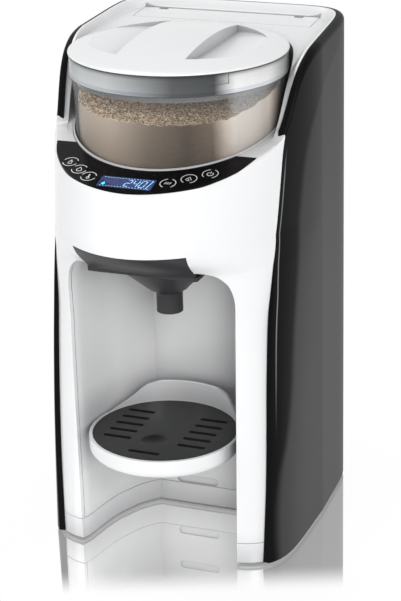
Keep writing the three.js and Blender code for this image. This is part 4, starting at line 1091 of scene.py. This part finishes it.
def make_base():
    def at_corners(x, ys):
        return [(side * x, y) for y in ys for side in (-1, 1)]

    def rods(name, radius, high, places):
        return [rod(name, radius, 0, high, x, y, 32) for x, y in places]

    feet, screws = at_corners(foot_x, foot_y), at_corners(screw_x, screw_y)
    top = base_height - gap / 2
    ring_piece = base_plan("base_ring_shell", floor_gap, top, inner_inset, 0, base_lead)
    cut(ring_piece, base_plan("inner", floor_gap - overrun, top + overrun, inner_inset + wall, wall))
    web = half_width - inner_inset - wall / 2 - screw_x
    for x, y in screws:
        near, far = sorted((x, x + math.copysign(web, x)))
        joined(ring_piece, rod("boss", screw_head + screw_shank, floor_gap + gap, top - gap, x, y, 32),
               block("web", (near, y - screw_head / 2, floor_gap + gap),
                     (far, y + screw_head / 2, top - gap)))
    cut(ring_piece, *rods("pilot", screw_shank + gap, top + overrun, screws))
    dressed(ring_piece, "white_shell", "machine", ["base_ring"])

    plate = base_plan("base_plate_shell", plate_low, plate_low + base_plate, inner_inset + base_set, base_set)
    cut(plate, *rods("pin", foot_pin + gap, floor_gap, feet),
        *rods("head", screw_head + gap, plate_low + base_plate / 2, screws),
        *rods("shank", screw_shank + gap, floor_gap, screws))
    dressed(plate, "grey_rubber", "machine", ["base_plate"])


# White front housing
lip_top = panel_height + overrun


def well_void(name):
    high = 2 * rim_height
    far = 2 * nose_reach
    over_panel = prism("over", [(-far, panel_z(-far)), (far, panel_z(far)), (far, high), (-far, high)],
                       -2 * half_width, 2 * half_width, "x")
    wide = common(post("wide", well_wide, well_floor, high), over_panel)
    return joined(post(name, well_radius, well_floor, high), wide, post("upper", well_wide, lip_top, high))


def well_lip(name):
    tube = post(name, well_radius + lip_width, well_floor, lip_top)
    cut(tube, post("bore", well_radius, 0, rim_height))
    far = nose_reach
    outline = [(-far, 0), (far, 0), (far, panel_z(far) + lip_rise), (-far, panel_z(-far) + lip_rise)]
    return common(tube, prism("under", outline, -half_width, half_width, "x"))


def rail(side):
    low = bowl_top - flange_height - gap - rail_thick
    inner = flange_half + play
    outer = side * (inner + rail_thick)

    def bar(start, high):
        near, far = sorted((side * start, outer))
        return block("rail", (near, rail_front, low), (far, flange_back, high))

    return joined(bar(inner, bay_ceiling + lip_width), bar(inner - rail_lip, low + rail_thick))


def hollow(name, grow):
    """The space inside the white skin, kept clear of it by grow."""
    def ceiling(y):
        return deck_level(y) - deck_skin - grow

    space = envelope(name, -overrun, lambda y, z: step_in(y, z) + wall + grow, ceiling, True)
    common(space, in_front_of_seam("front", gap / 2 + wall + grow))
    core = envelope("core", -overrun, inner_inset + wall + grow + hair, lambda y: ceiling(y) - hair, True)
    return joined(space, core)


def housing_voids():
    """What is cut out of the skin, the liner and the well alike."""
    return [bay_void("bay", 0, -overrun), tunnel("tunnel", 0), well_void("well"),
            rod("outlet", outlet_radius + play, bay_ceiling, well_floor + overrun, 0, spout_y),
            rod("shaft", shaft_radius + play, cover_top, well_floor + overrun, 0, hopper_y),
            rod("nozzle", nozzle_radius + gap, bay_ceiling, gearbox_low, nozzle_x, spout_y),
            crescent("seat", -gap / 2, crescent_end + gap / 2, -overlay_set - gap, overrun)]


def make_housing():
    """The white skin, in front of the hopper's axis and behind it."""
    skin = envelope("front_housing_shell", base_top, step_in, edge_height)
    common(skin, in_front_of_seam("front", gap / 2))
    core_inset = inner_inset + hair
    joined(skin, envelope("core", base_top, core_inset, lambda y: edge_height(y) - core_inset),
           envelope("rim", chin_height, rim_inset, lambda y: edge_height(y) - hair, True))
    seam = seam_points(-skirt_depth)
    skirt = [(y, height_at(edge_height, y) - deck_drop - skirt_depth)
             for y in np.linspace(seam[-1][0], mid_y + back_reach + overrun, 12)]
    behind = prism("behind", [*seam, *skirt, (skirt[-1][0], -overrun), (seam[0][0], -overrun)], *across, "x")
    cut(skin, hollow("hollow", 0), behind, dish("dish"), *housing_voids(),
        post("lip_hole", well_radius + lip_width + gap, well_floor - overrun, lip_top),
        tank_plan("tank", tank_lid_reach + gap, tank_top - 2 * overrun, 2 * rim_height, tank_lid_round - gap),
        *button_discs(button_radius + gap, -2 * overrun, overrun),
        display_plate("display", 0, -2 * overrun, overrun))
    deck = copied(skin, "rear_deck_shell")
    far = 2 * nose_reach
    common(skin, block("before", (-far, hopper_y - far, 0), (far, hopper_y, far * 2)))
    common(deck, block("after", (-far, hopper_y + gap, 0), (far, hopper_y + far, far * 2)))
    dressed(skin, "white_shell", "machine", ["front_housing"])
    dressed(deck, "white_shell", "machine", ["rear_deck"])


def make_liner():
    """The bay's walls with the funnel's tunnel and its rails."""
    liner = joined(bay_void("bay_liner_walls", wall, base_top), tunnel("tunnel", wall))
    common(liner, hollow("hollow", gap))
    pocket = (-bay_half, 0, 0), (bay_half, bay_back_y + pocket_depth, slot_top - slot_height)
    lower = [common(tray_slot("slot", slot_top - step * slot_pitch), block("pocket", *pocket))
             for step in (1, 2)]
    cut(liner, *housing_voids(), tray_slot("slot", slot_top), *lower)
    joined(liner, rail(-1), rail(1))
    dressed(liner, "bay_white_painted_shade", "machine", ["bay_liner", "bay_back"])


def make_well():
    """The cup that the hopper stands in, with the lip that shows round it."""
    cup = post("hopper_well_cup", well_radius + well_wall, well_floor - well_wall, rim_height)
    joined(cup, rod("outlet", outlet_radius + play + well_wall, cover_top + 2 * gap + wall, well_floor,
                    0, spout_y),
           post("top", well_wide + well_wall, panel_height, rim_height))
    common(cup, hollow("hollow", gap))
    cut(cup, *housing_voids())
    joined(cup, well_lip("lip"))
    dressed(cup, "white_shell", "machine", ["hopper_well"])


def make_shell():
    shell = envelope("rear_shell_skin", floor_gap, 0, edge_height)
    back = mid_y + back_reach
    cut(shell, envelope("inner", -overrun, shell_wall, lambda y: edge_height(y) - shell_wall),
        envelope("mouth", chin_height, rear_edge, lambda y: edge_height(y) + rim_height / 4, True),
        in_front_of_seam("front", -gap / 2),
        block("inlet", (inlet_x - inlet_wide / 2 - gap, back - inlet_deep, inlet_low - gap),
              (inlet_x + inlet_wide / 2 + gap, back + inlet_deep, inlet_low + inlet_tall + gap)))
    dressed(shell, "graphite_shell", "machine", ["rear_shell"])


# Control panel, its buttons and its display
panel_top = overlay_thick - overlay_set
button_edge = [(0, 0.35), (0.1, 0.12), (0.4, 0)]    # how far it comes in, how far it lies below the top


def make_panel():
    panel = crescent("panel_overlay", 0, crescent_end, -overlay_set, panel_top)
    cut(panel, *button_discs(button_radius + gap / 2, -overrun, overrun),
        display_plate("display", gap / 4, -overrun, overrun))
    with_modifier(panel, "BEVEL", width=overlay_bevel * mm, segments=3, limit_method="ANGLE",
                  angle_limit=math.radians(40))
    dressed(panel, "black_gloss", "machine", ["control_panel"])

    window = display_plate("display_window", 0, -overlay_set, panel_top)
    dressed(window, "display", "machine", ["lcd_window"])

    high = panel_top + button_proud
    low = high - button_height
    cap = [(0, low), (button_radius, low),
           *[(button_radius - draw, high - drop) for draw, drop in button_edge],
           (0.6 * button_radius, high - 0.6 * button_dish), (0, high - button_dish)]
    for i, (x, y) in enumerate(button_places):
        v = along_panel(y)
        stem = tilted(prism("stem", circle(stem_radius, 32, (x, v)), stem_low, low + gap))
        rings = [at_level(circle(radius, 64, (x, v)), height) for radius, height in cap]
        button = joined(tilted(wrapped(f"button_{i + 1}_cap", rings)), stem)
        dressed(button, "black_gloss", f"button_{i + 1}", [f"button_{i + 1}"], angle=50)
        make_icon(i, x, v, high)


def strip(points, width, low, high):
    """A line of one width through flat points, as a thin raised print."""
    points = np.asarray(points, float)
    along = np.gradient(points, axis=0)
    along /= np.linalg.norm(along, axis=1)[:, None]
    side = np.stack([-along[:, 1], along[:, 0]], -1) * width / 2
    outline = np.concatenate([points + side, (points - side)[::-1]])
    return tilted(prism("mark", outline, low, high))


def arc(x, y, radius, start, end, steps=24):
    angle = np.radians(np.linspace(start, end, steps))
    return np.stack([x + radius * np.cos(angle), y + radius * np.sin(angle)], -1)


def through(*points):
    """A line through points, with one more halfway between each two."""
    points = np.array(points, float)
    return np.concatenate([np.linspace(a, b, 3)[:-1] for a, b in zip(points, points[1:])] + [points[-1:]])


# The runs of each button's broken ring, and the lines of its sign with their widths
icons = [
    # a narrow vessel with a cap
    ([(20, 160), (200, 340)],
     [(sign_pen, through((-1.2, -2.6), (1.2, -2.6), (1.2, 0.8), (-1.2, 0.8), (-1.2, -2.3))),
      (sign_pen, through((-0.7, 1.6), (0.7, 1.6))), (sign_pen, through((0, 1.9), (0, 2.8)))]),
    # a drop
    ([(35, 145), (190, 350)],
     [(sign_pen, np.concatenate([[(0, 2.9)], arc(0, -0.7, 1.9, 25, -205, 20), [(-0.1, 2.8)]]))]),
    # a thermometer
    ([(15, 165), (195, 345)],
     [(1.0, through((0, -0.6), (0, 3.0))), (0.7, arc(0, -1.7, 1.0, 0, 350))]),
    # a measure
    ([(-50, 75), (110, 250)],
     [(sign_pen, through((-2.4, -1.2), (-1.6, 1.4))), (sign_pen, through((-0.5, -1.2), (0.3, 1.4))),
      (sign_pen, through((1.2, -1.2), (2.2, 1.6)))]),
    # a triangle over a line
    ([(-65, 245)],
     [(sign_pen, through((-2.3, -1.4), (0, 2.4), (2.3, -1.4))),
      (sign_pen, through((-1.3, -2.4), (1.3, -2.4))), (sign_pen, through((0, -1.3), (0, -0.1)))]),
    # power
    ([(-60, 70), (105, 235)],
     [(0.6, arc(0, -0.2, 2.3, 125, 415)), (sign_pen, through((0, 0.2), (0, 2.9)))])]


def make_icon(i, x, v, high):
    """A broken ring with a plain sign in it."""
    runs, sign = icons[i]
    lines = [(ring_pen, arc(0, 0, ring_radius, start, end, 40)) for start, end in runs] + sign
    marks = [strip(points + np.array([x, v]), width, high - print_deep, high + print_proud)
             for width, points in lines]
    dressed(merged(f"icon_{i + 1}", marks), "print", f"button_{i + 1}")


# The display's figures: the ends of each bar among six corners, numbered in rows from the top
figure_wide, figure_tall, figure_pitch, figure_lean, figure_x = 3.7, 4.1, 5.7, 0.2, -4.4
bar_inset, bar_pen = 0.1, 0.45
corner_places = {1: (0, 2), 2: (1, 2), 3: (0, 1), 4: (1, 1), 5: (0, 0), 6: (1, 0)}
figure_bars = {"2": [(1, 2), (2, 4), (4, 3), (3, 5), (5, 6)], "4": [(1, 3), (3, 4), (2, 4), (4, 6)],
               "0": [(1, 2), (2, 4), (4, 6), (6, 5), (5, 3), (3, 1)]}
# Its dotted border, slanting stroke and drop
border_x, border_y, dash_count, dash_long, dash_pen = 1.6, 1.3, 17, 1.1, 0.35
stroke_wide, stroke_half, stroke_pen = 2.6, 5.2, 0.4
drop_x, drop_y, drop_radius, drop_tip = 2.6, -3.2, 1.35, (0.5, -0.6)


def make_display_marks():
    """The lit figures, a drop and a dotted border."""
    low, top = panel_top - mark_deep, panel_top + print_proud
    v = along_panel(lcd_y)
    marks = []
    for k, figure in enumerate("240"):
        for bar in figure_bars[figure]:
            ends = [np.array([figure_x + figure_pitch * k + figure_wide * a + figure_lean * figure_tall * b,
                              v - figure_tall + figure_tall * b])
                    for a, b in (corner_places[end] for end in bar)]
            step = (ends[1] - ends[0]) * bar_inset
            marks.append(strip(np.linspace(ends[0] + step, ends[1] - step, 3), bar_pen, low, top))
    left, right = lcd_x - lcd_wide / 2 + border_x, lcd_x + lcd_wide / 2 - border_x
    for k in range(dash_count):
        x = left + (right - left) * (k + 0.3) / dash_count
        for side in (-1, 1):
            y = v + side * (lcd_deep / 2 - border_y)
            marks.append(strip(np.linspace((x, y), (x + dash_long, y), 3), dash_pen, low, top))
    slant = np.linspace((right - stroke_wide, v - stroke_half), (right, v + stroke_half), 3)
    marks.append(strip(slant, stroke_pen, low, top))
    dressed(merged("display_figures", marks), "marks", "machine")
    drop = np.concatenate([[drop_tip], arc(0, drop_y, drop_radius, 30, -210, 20)]) + (left + drop_x, v)
    dressed(tilted(prism("display_drop", drop, low, top)), "drop", "machine")


# Hopper, collar, powder and lid
neck_radius = hopper_radius + hopper_flare - hopper_wall - neck_gap


def bend(radius, low, size, steps=10):
    angle = np.linspace(0, np.pi / 2, steps)
    return [(radius - size + size * math.sin(a), low + size - size * math.cos(a)) for a in angle]


def make_hopper():
    low = hopper_floor - hopper_wall - gap
    high = hopper_top - collar_height - gap
    straight = low + 4 * hopper_bend
    flared = hopper_radius + hopper_flare
    inside = hopper_radius - hopper_wall
    edge = 0.3

    def flare(radius, shares):
        return [(radius + hopper_flare * s * s, straight + s * (high - straight)) for s in shares]

    profile = [(0, low), *bend(hopper_radius, low, hopper_bend), (hopper_radius, straight - hopper_bend / 2),
               (hopper_radius, straight), *flare(hopper_radius, (0.25, 0.5, 0.75)), (flared, high - edge),
               (flared - edge, high), (flared - hopper_wall + edge, high),
               (flared - hopper_wall, high - edge),
               *flare(inside, (0.75, 0.5, 0.25)), (inside, straight),
               *bend(inside, hopper_floor, hopper_bend - hopper_wall)[::-1], (0, hopper_floor)]
    hopper = turned("hopper_bowl", profile, hopper_y)
    cut(hopper, rod("outlet", outlet_radius, 0, rim_height, 0, spout_y),
        rod("shaft", shaft_radius + play, 0, rim_height, 0, hopper_y))
    dressed(hopper, "clear_plastic", "hopper", ["hopper", "hopper_base"])

    foot = hopper_top - collar_height
    edge, band_low, band_high, step, sink = 0.5, 2.4, 1.1, 0.3, 0.35
    inner = neck_radius - collar_inner
    profile = [(inner, foot - collar_skirt), (neck_radius, foot - collar_skirt), (neck_radius, foot),
               (collar_radius - edge, foot), (collar_radius, foot + edge), (collar_radius, foot + band_low),
               (collar_radius - sink, foot + band_low + step),
               (collar_radius - sink, hopper_top - band_high - step),
               (collar_radius, hopper_top - band_high), (collar_radius, hopper_top - edge),
               (collar_radius - edge, hopper_top), (inner, hopper_top), (inner, foot - collar_skirt)]
    collar = turned("hopper_collar_ring", profile, hopper_y)
    cut(collar, *collar_grooves())
    dressed(collar, "frosted_plastic", "hopper", ["hopper_collar"])


def around(piece, turn):
    """Turns a piece that was made at the right of the hopper's axis about that axis."""
    points = points_of(piece) / mm
    x, y = points[:, 0].copy(), points[:, 1].copy()
    points[:, 0] = x * math.cos(turn) - y * math.sin(turn)
    points[:, 1] = hopper_y + x * math.sin(turn) + y * math.cos(turn)
    return moved(piece, points)


def collar_grooves():
    """The slot that the lid's lug turns in: a level run with an upright way in."""
    depth, tall, long, drop, turn = 1.2, 3, 16, 8, -0.84
    foot = hopper_top - drop
    reach = (long - tall) / 2 / collar_radius
    near, far = collar_radius - depth, collar_radius + depth
    level = block("groove", (near, -long / 2, foot), (far, long / 2, foot + tall))
    upright = block("groove", (near, -tall / 2, foot), (far, tall / 2, foot + drop + overrun))
    return [around(level, turn), around(upright, turn + reach)]


def make_powder():
    """Powder round and over the stirring wheel, heaped towards the back, with a grainy top."""
    outer = hopper_radius - hopper_wall - powder_film
    clear_of = stir_reach + powder_clear
    count = 240
    rng = np.random.default_rng(7)
    waves = [(rng.uniform(0.5, 2.6), rng.uniform(0, 2 * np.pi), rng.uniform(0, 2 * np.pi))
             for _ in range(ripple_count)]
    rim_level = flowing([-180, -158, -140, -110, -68, -42, -28, -12, 20, 90, 180],
                        [359, 355, 353, 352, 351, 353, 357, 362, 366, 369, 359])

    def top(x, y):
        turn = np.degrees(np.arctan2(y - hopper_y, x))
        reach = np.hypot(x, y - hopper_y) / outer
        level = powder_level + (rim_level(turn) - powder_level) * reach ** 1.6
        ripple = sum(ripple_height * np.sin(k * (x * math.cos(t) + y * math.sin(t)) + p) for k, t, p in waves)
        return level + np.clip(ripple, -ripple_limit, ripple_limit)

    def loop(radius, height):
        flat = circle(radius, count, (0, hopper_y))
        z = height(flat[:, 0], flat[:, 1]) if callable(height) else np.full(count, float(height))
        return np.column_stack([flat, z])

    floor = hopper_floor + gap
    bottom = bend(outer, floor, hopper_bend - hopper_wall)
    rings = [loop(0.5, wheel_top), loop(clear_of - 2, wheel_top), loop(clear_of, wheel_top - 2),
             loop(clear_of, floor + 2), *[loop(r, z) for r, z in bottom if r > clear_of],
             *[loop(outer, powder_low - below) for below in (20, 10, 2)]]
    rings += [loop(outer, lambda x, y: powder_low + share * (top(x, y) - powder_low))
              for share in (0.3, 0.6, 0.85, 0.97)]
    rings += [loop(outer * share - (powder_edge if share == 1 else 0), top)
              for share in np.linspace(1, 0.01, 110)]
    dressed(capped("milk_powder", rings), "powder", "hopper", angle=60)


def scoop(name, side, grow):
    """One of the two hollows beside the lid's grip, or the wall under it where it grows."""
    low = lid_flat + lid_dome - scoop_depth - grow
    near, far = grip_half - grow, collar_radius
    rise = scoop_rise * (far - grip_half) / (scoop_radius - grip_half)
    high = rim_height + 2 * lid_dome
    outline = [(side * near, low), (side * far, low + rise), (side * far, high), (side * near, high)]
    ratio = (scoop_half_y + grow) / (scoop_radius + grow)
    oval = prism("oval", circle(scoop_radius + grow, ratio=ratio), 0, rim_height + 3 * lid_dome)
    piece = common(prism(name, outline, -collar_radius, collar_radius, "y"), oval)
    return moved(piece, points_of(piece) / mm + (0, hopper_y, 0))


def make_lid():
    low = hopper_top + gap
    skirt = neck_radius - collar_inner - lid_plug / 2
    foot = low - lid_skirt
    edge, shoulder, groove_half = 1.5, 2.5, 1.5

    def dome(radius, rise, steps=26):
        return [(share * radius, rise + lid_dome * (1 - (share * radius / lid_radius) ** 2))
                for share in np.linspace(1, 0, steps)]

    side = [(lid_radius - edge + edge * math.sin(a), lid_flat + edge * math.cos(a) - edge)
            for a in np.linspace(np.pi / 2, 0.3, 7)]
    profile = [(0, foot), (skirt, foot), (skirt, low), (lid_radius - gap, low), (lid_radius, low + gap),
               *side, *dome(lid_radius - shoulder, lid_flat)]
    lid = turned("lid_shell", profile, hopper_y)
    inner = turned("inner", [(0, foot - overrun), (skirt - lid_wall, foot - overrun),
                             *dome(skirt - lid_wall, lid_flat - lid_wall)], hopper_y)
    bulges = [common(scoop("bulge", s, lid_wall), copied(lid, "outer_copy")) for s in (-1, 1)]
    cut(lid, inner)
    joined(lid, *bulges)
    below, above = low - lid_skirt / 2 - groove_half, low - lid_skirt / 2 + groove_half
    near, far = skirt - wall / 2, skirt + wall
    profile = [(near, below), (far, below), (far, above), (near, above), (near, below)]
    cut(lid, scoop("scoop", -1, 0), scoop("scoop", 1, 0), turned("groove", profile, hopper_y))
    dressed(lid, "white_shell", "lid", ["lid"])


# Funnel and its cover
def make_funnel():
    low = bowl_top - flange_height
    middle = (flange_front + flange_back) / 2
    flange_deep = (flange_back - flange_front) / 2

    def oval(height, half_x, half_y, centre):
        return at_level(circle(half_x, 96, (0, centre), half_y / half_x), height)

    def bowl(name, thin, bottom, through_top):
        """From the spout's round to the bowl's oval, widening softly at first."""
        start = spout_radius - thin
        rings = [oval(height, start, start, spout_y) for height in (bottom, spout_top - 2)]
        for share in np.linspace(0, 1, 14):
            part = share if share > 0.12 else share * share / 0.24 + 0.06 * share
            half_x = start + part * (bowl_half - spout_wall - spout_radius)
            half_y = start + part * (flange_deep - spout_wall - spout_radius)
            rings.append(oval(spout_top + share * (low + gap - spout_top), half_x, half_y,
                              spout_y + part * (middle - spout_y)))
        if through_top:
            rings.append(at_level(rings[-1][:, :2], bowl_top + overrun))
        return capped(name, rings)

    funnel = bowl("funnel_bowl", 0, spout_bottom, False)
    flange = prism("flange", rounded_box(flange_half, flange_deep, flange_height, 8, (0, middle)),
                   low, bowl_top)
    common(flange, bay_void("bay", -play, base_height))
    joined(funnel, flange)
    cut(funnel, bowl("inside", spout_wall, spout_bottom - overrun, True))
    dressed(funnel, "smoke", "funnel", ["funnel"])

    foot = bowl_top + gap
    skin = envelope("funnel_cover_skin", foot - overrun, 0, edge_height, True)
    cut(skin, envelope("inner", foot - 2 * overrun, cover_wall, lambda y: edge_height(y) + overrun, True))
    outline = [(-cover_foot, foot), (cover_foot, foot), (cover_foot, cover_bottom), (flange_half, cover_top),
               (-flange_half, cover_top), (-cover_foot, cover_bottom)]
    common(skin, prism("window", outline, front_end, -nose_reach / 2, "y"))
    seat = block("seat", (-cover_foot + cover_wall, mid_y - cover_seat - nose_reach, foot),
                 (cover_foot - cover_wall, mid_y - cover_seat, cover_bottom + cover_wall))
    common(seat, envelope("inner", bowl_top, cover_wall / 2, edge_height, True))
    joined(skin, seat)
    dressed(skin, "smoke", "funnel", ["funnel_cover"])


# Tray and drip grid
slot_rows, slot_row_pitch, slot_row_shift, slot_start = 5, 12.4, 2, 17
dent_set = 22.2
dent_shape = [(11.2, 1), (11.2, 0), (10.4, -0.35), (8.6, -1.2), (6, -1.9), (3, -2.25), (0, -2.35)]


def make_tray():
    rim = grid_radius + tray_rim
    low = tray_top - tray_height
    seat = grid_radius + gap
    inside = grid_radius - tray_wall
    ledge = tray_top - grid_thick - gap
    soft, softer, seat_edge = 0.6, 0.18, 0.3
    profile = [(0, low), *bend(rim, low, tray_round), (rim, tray_top - soft),
               (rim - softer, tray_top - softer), (rim - soft, tray_top), (seat + seat_edge, tray_top),
               (seat, tray_top - seat_edge), (seat, ledge), (inside, ledge),
               *bend(inside, low + tray_wall, tray_round - tray_wall)[::-1], (0, low + tray_wall)]
    tray = turned("tray_cup", profile, tray_y)
    foot, high, near, edge = tray_top - grid_thick, tray_top + splash_height, rim - tray_wall, 0.5
    splash = turned("splash", [(near, foot), (rim, foot), (rim, high - edge), (rim - edge, high),
                               (near + edge, high), (near, high - edge), (near, foot)], tray_y)
    out_at = flowing([up for _, up in splash_shares], [out for out, _ in splash_shares])
    arch = [(float(out_at(up)) * rim, tray_top + up * splash_height) for up in np.linspace(0, 1, 16)]
    outline = [(arch[0][0], low), *arch, *[(-x, z) for x, z in arch[::-1]], (-arch[0][0], low)]
    common(splash, prism("arch", outline, tray_y, tray_y + 2 * rim, "y"))
    tongue_y = tray_y + rim + (tongue_long - tray_wall) / 2 - tray_wall / 2
    deep = (tongue_long + tray_wall) / 2
    tongue = prism("tongue", rounded_box(tongue_half, tongue_height / 2, tongue_round, 6, (0, slot_top)),
                   tongue_y - deep, tongue_y + deep, "y")
    joined(tray, splash, tongue)
    dressed(tray, "white_shell", "tray", ["tray"])

    edge, softer = 0.5, 0.15
    profile = [(0, foot), (grid_radius, foot), (grid_radius, tray_top - edge),
               (grid_radius - softer, tray_top - softer), (grid_radius - edge, tray_top), (0, tray_top)]
    grid = turned("drip_grid_plate", profile, tray_y)

    def slot(half_x, x, y):
        outline = rounded_box(half_x, grid_slot / 2, grid_slot / 2 - gap / 4, 8, (x, y))
        return prism("slot", outline, tray_top - 2 * tray_height, tray_top + overrun)

    rows = [tray_y + slot_row_shift + (row - (slot_rows - 1) / 2) * slot_row_pitch
            for row in range(slot_rows)]
    slots = [slot(grid_slot_long / 2 - grid_slot / 2, side * (slot_start + grid_slot_long / 2), y)
             for y in rows for side in (-1, 1)]
    dent = turned("dent", [(0, tray_top + 1), *[(radius, tray_top + rise) for radius, rise in dent_shape]],
                  tray_y - dent_set, 64)
    cut(grid, *slots, slot(finger_half, 0, tray_y - finger_front), dent)
    dressed(grid, "black_matte", "grid", ["drip_grid"])


# Water tank and its lid
def make_tank():
    hinge_z = height_at(deck_level, hinge_y) - hinge_radius

    def axle(name, radius, start, end):
        return prism(name, circle(radius, 40, (hinge_y, hinge_z)), start, end, "x")

    def bore():
        return axle("bore", hinge_pin + gap / 2, -tank_half, tank_half)

    tank = tank_plan("water_tank_shell", 0, tank_bottom, tank_top)
    cut(tank, tank_plan("inner", -tank_wall, tank_bottom + tank_wall, tank_top + overrun))
    back = tank_y + tank_deep_half
    for side in (-1, 1):
        near = side * ear_x - ear_wide / 2
        stalk = block("stalk", (near, back - tank_wall, tank_top - wall), (near + ear_wide, back, hinge_z))
        joined(tank, axle("ear", hinge_radius, near, near + ear_wide), stalk)
    cut(tank, bore(), rod("valve", valve_stem + gap, 0, tank_bottom + overrun, 0, tank_y))
    dressed(tank, "clear_plastic", "tank", ["water_tank"])

    def slope(drop):
        ends = [tank_y + side * tank_deep_half for side in (-2, 2)]
        return [(y, height_at(deck_level, y) - drop) for y in ends]

    def plug(name, draw, low, high):
        outline = rounded_box(tank_half - draw - plug_play, tank_deep_half - draw - plug_play,
                              max(tank_round - draw, 1), 8, (0, tank_y))
        return prism(name, outline, low, high)

    slab = prism("slab", slope(tank_lid_thick) + slope(0)[::-1], -half_width, half_width, "x")
    lid = common(tank_plan("tank_lid_panel", tank_lid_reach, tank_bottom, rim_height, tank_lid_round), slab)
    top = height_at(deck_level, tank_y) - tank_lid_thick
    joined(lid, plug("plug", tank_wall, tank_top - plug_depth, top + gap))
    cut(lid, plug("hollow", 2 * tank_wall, 0, top - gap),
        block("clear", (-1.5 * tank_half, hinge_y, 0),
              (1.5 * tank_half, hinge_y + tank_deep_half, rim_height)))
    half = ear_wide / 2 + play
    joined(lid, axle("barrel", hinge_radius, half - ear_x, ear_x - half))
    room = hinge_radius + play
    cut(lid, *[block("notch", (side * ear_x - half, hinge_y - room, 0),
                     (side * ear_x + half, hinge_y + room, rim_height)) for side in (-1, 1)], bore())
    dressed(lid, "white_shell", "tank_lid", ["tank_lid"])


# The remaining solids keep their shape and get their finish
solid_finishes = {
    "grey_rubber": "foot_1 foot_2 foot_3 foot_4 lid_gasket",
    "steel": "base_screw_1 base_screw_2 base_screw_3 base_screw_4 drive_shaft gear_motor tank_hinge_pin "
             "heater",
    "circuit_board": "lcd_module control_board power_board",
    "white_inner": "dosing_disc stirring_wheel tank_valve tank_socket tank_shelf water_nozzle",
    "frosted_plastic": "powder_gate feed_hose link_hose hot_hose",
    "smoke": "gearbox pump",
    "black_matte": "power_inlet"}


def finish_solids():
    for finish, nodes in solid_finishes.items():
        for name in nodes.split():
            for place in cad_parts[name].material_slots:
                place.material = finishes[finish].material


# Floor and light
def make_floor():
    """A white floor that keeps the shadow close to the part, with a mirror that fades towards the camera."""
    only()
    bpy.ops.mesh.primitive_plane_add(size=30)
    floor = started("floor")
    made = Finish("floor")
    x, y, _ = made.axes()
    made.set(Base_Color=made.blend(made.noise(40, 2), grey(0.93), grey(0.95)), Roughness=0.55)
    seen = made.seen()

    def outside(value, half):
        """How far a value lies beyond half to either side."""
        return (made.node("ShaderNodeMath", {0: value}, operation="ABSOLUTE") - half).larger(0)

    beyond = (outside(x, 0.092) ** 2 + outside(y - 0.02, 0.10) ** 2) ** 0.5
    toward = 0.365 * x - 0.931 * y
    white = made.node("ShaderNodeEmission", {"Color": grey(1), "Strength": 1.0})
    mirror = made.node("ShaderNodeBsdfGlossy", {"Color": grey(1), "Roughness": 0.02})
    plain = made.mixed((0.90 + 0.10 * beyond.between(0.005, 0.10)) * seen, made.base, white)
    made.show(made.mixed(0.68 * (1 - toward.between(0.092, 0.134)) * seen, plain, mirror))
    floor.data.materials.append(made.material)


def make_light():
    world = bpy.data.worlds.new("studio")
    bpy.context.scene.world = world
    world.use_nodes = True
    sky = Tree(world.node_tree)
    soft = sky.tree.nodes["Background"]
    sky.put(soft.inputs["Color"], (0.95, 0.97, 1.0))
    sky.put(soft.inputs["Strength"], 0.5)
    white = sky.node("ShaderNodeBackground", {"Color": grey(1), "Strength": 1.0})
    shown = sky.mixed(sky.seen(), Wire(sky, soft.outputs[0]), white)
    sky.put(sky.tree.nodes["World Output"].inputs["Surface"], shown)

    for name, place, target, size, power in (("key", (1.3, -1.8, 1.2), (0, 0, 0.2), (1.0, 1.4), 30),
                                             ("fill", (-1.6, -1.5, 0.8), (0, 0, 0.2), (1.0, 1.2), 12),
                                             ("top", (-0.7, 0.3, 1.8), (0, 0, 0.3), (0.8, 0.8), 6)):
        light = bpy.data.lights.new(name, "AREA")
        light.shape = "RECTANGLE"
        light.size, light.size_y = size
        light.energy = power
        placed(name, light).matrix_world = aimed(place, target)


for make in (make_floor, make_light, make_base, make_housing, make_liner, make_well, make_shell, make_panel,
             make_display_marks, make_hopper, make_powder, make_lid, make_funnel, make_tray, make_tank,
             finish_solids):
    make()

bpy.context.scene.view_settings.view_transform = "Standard"
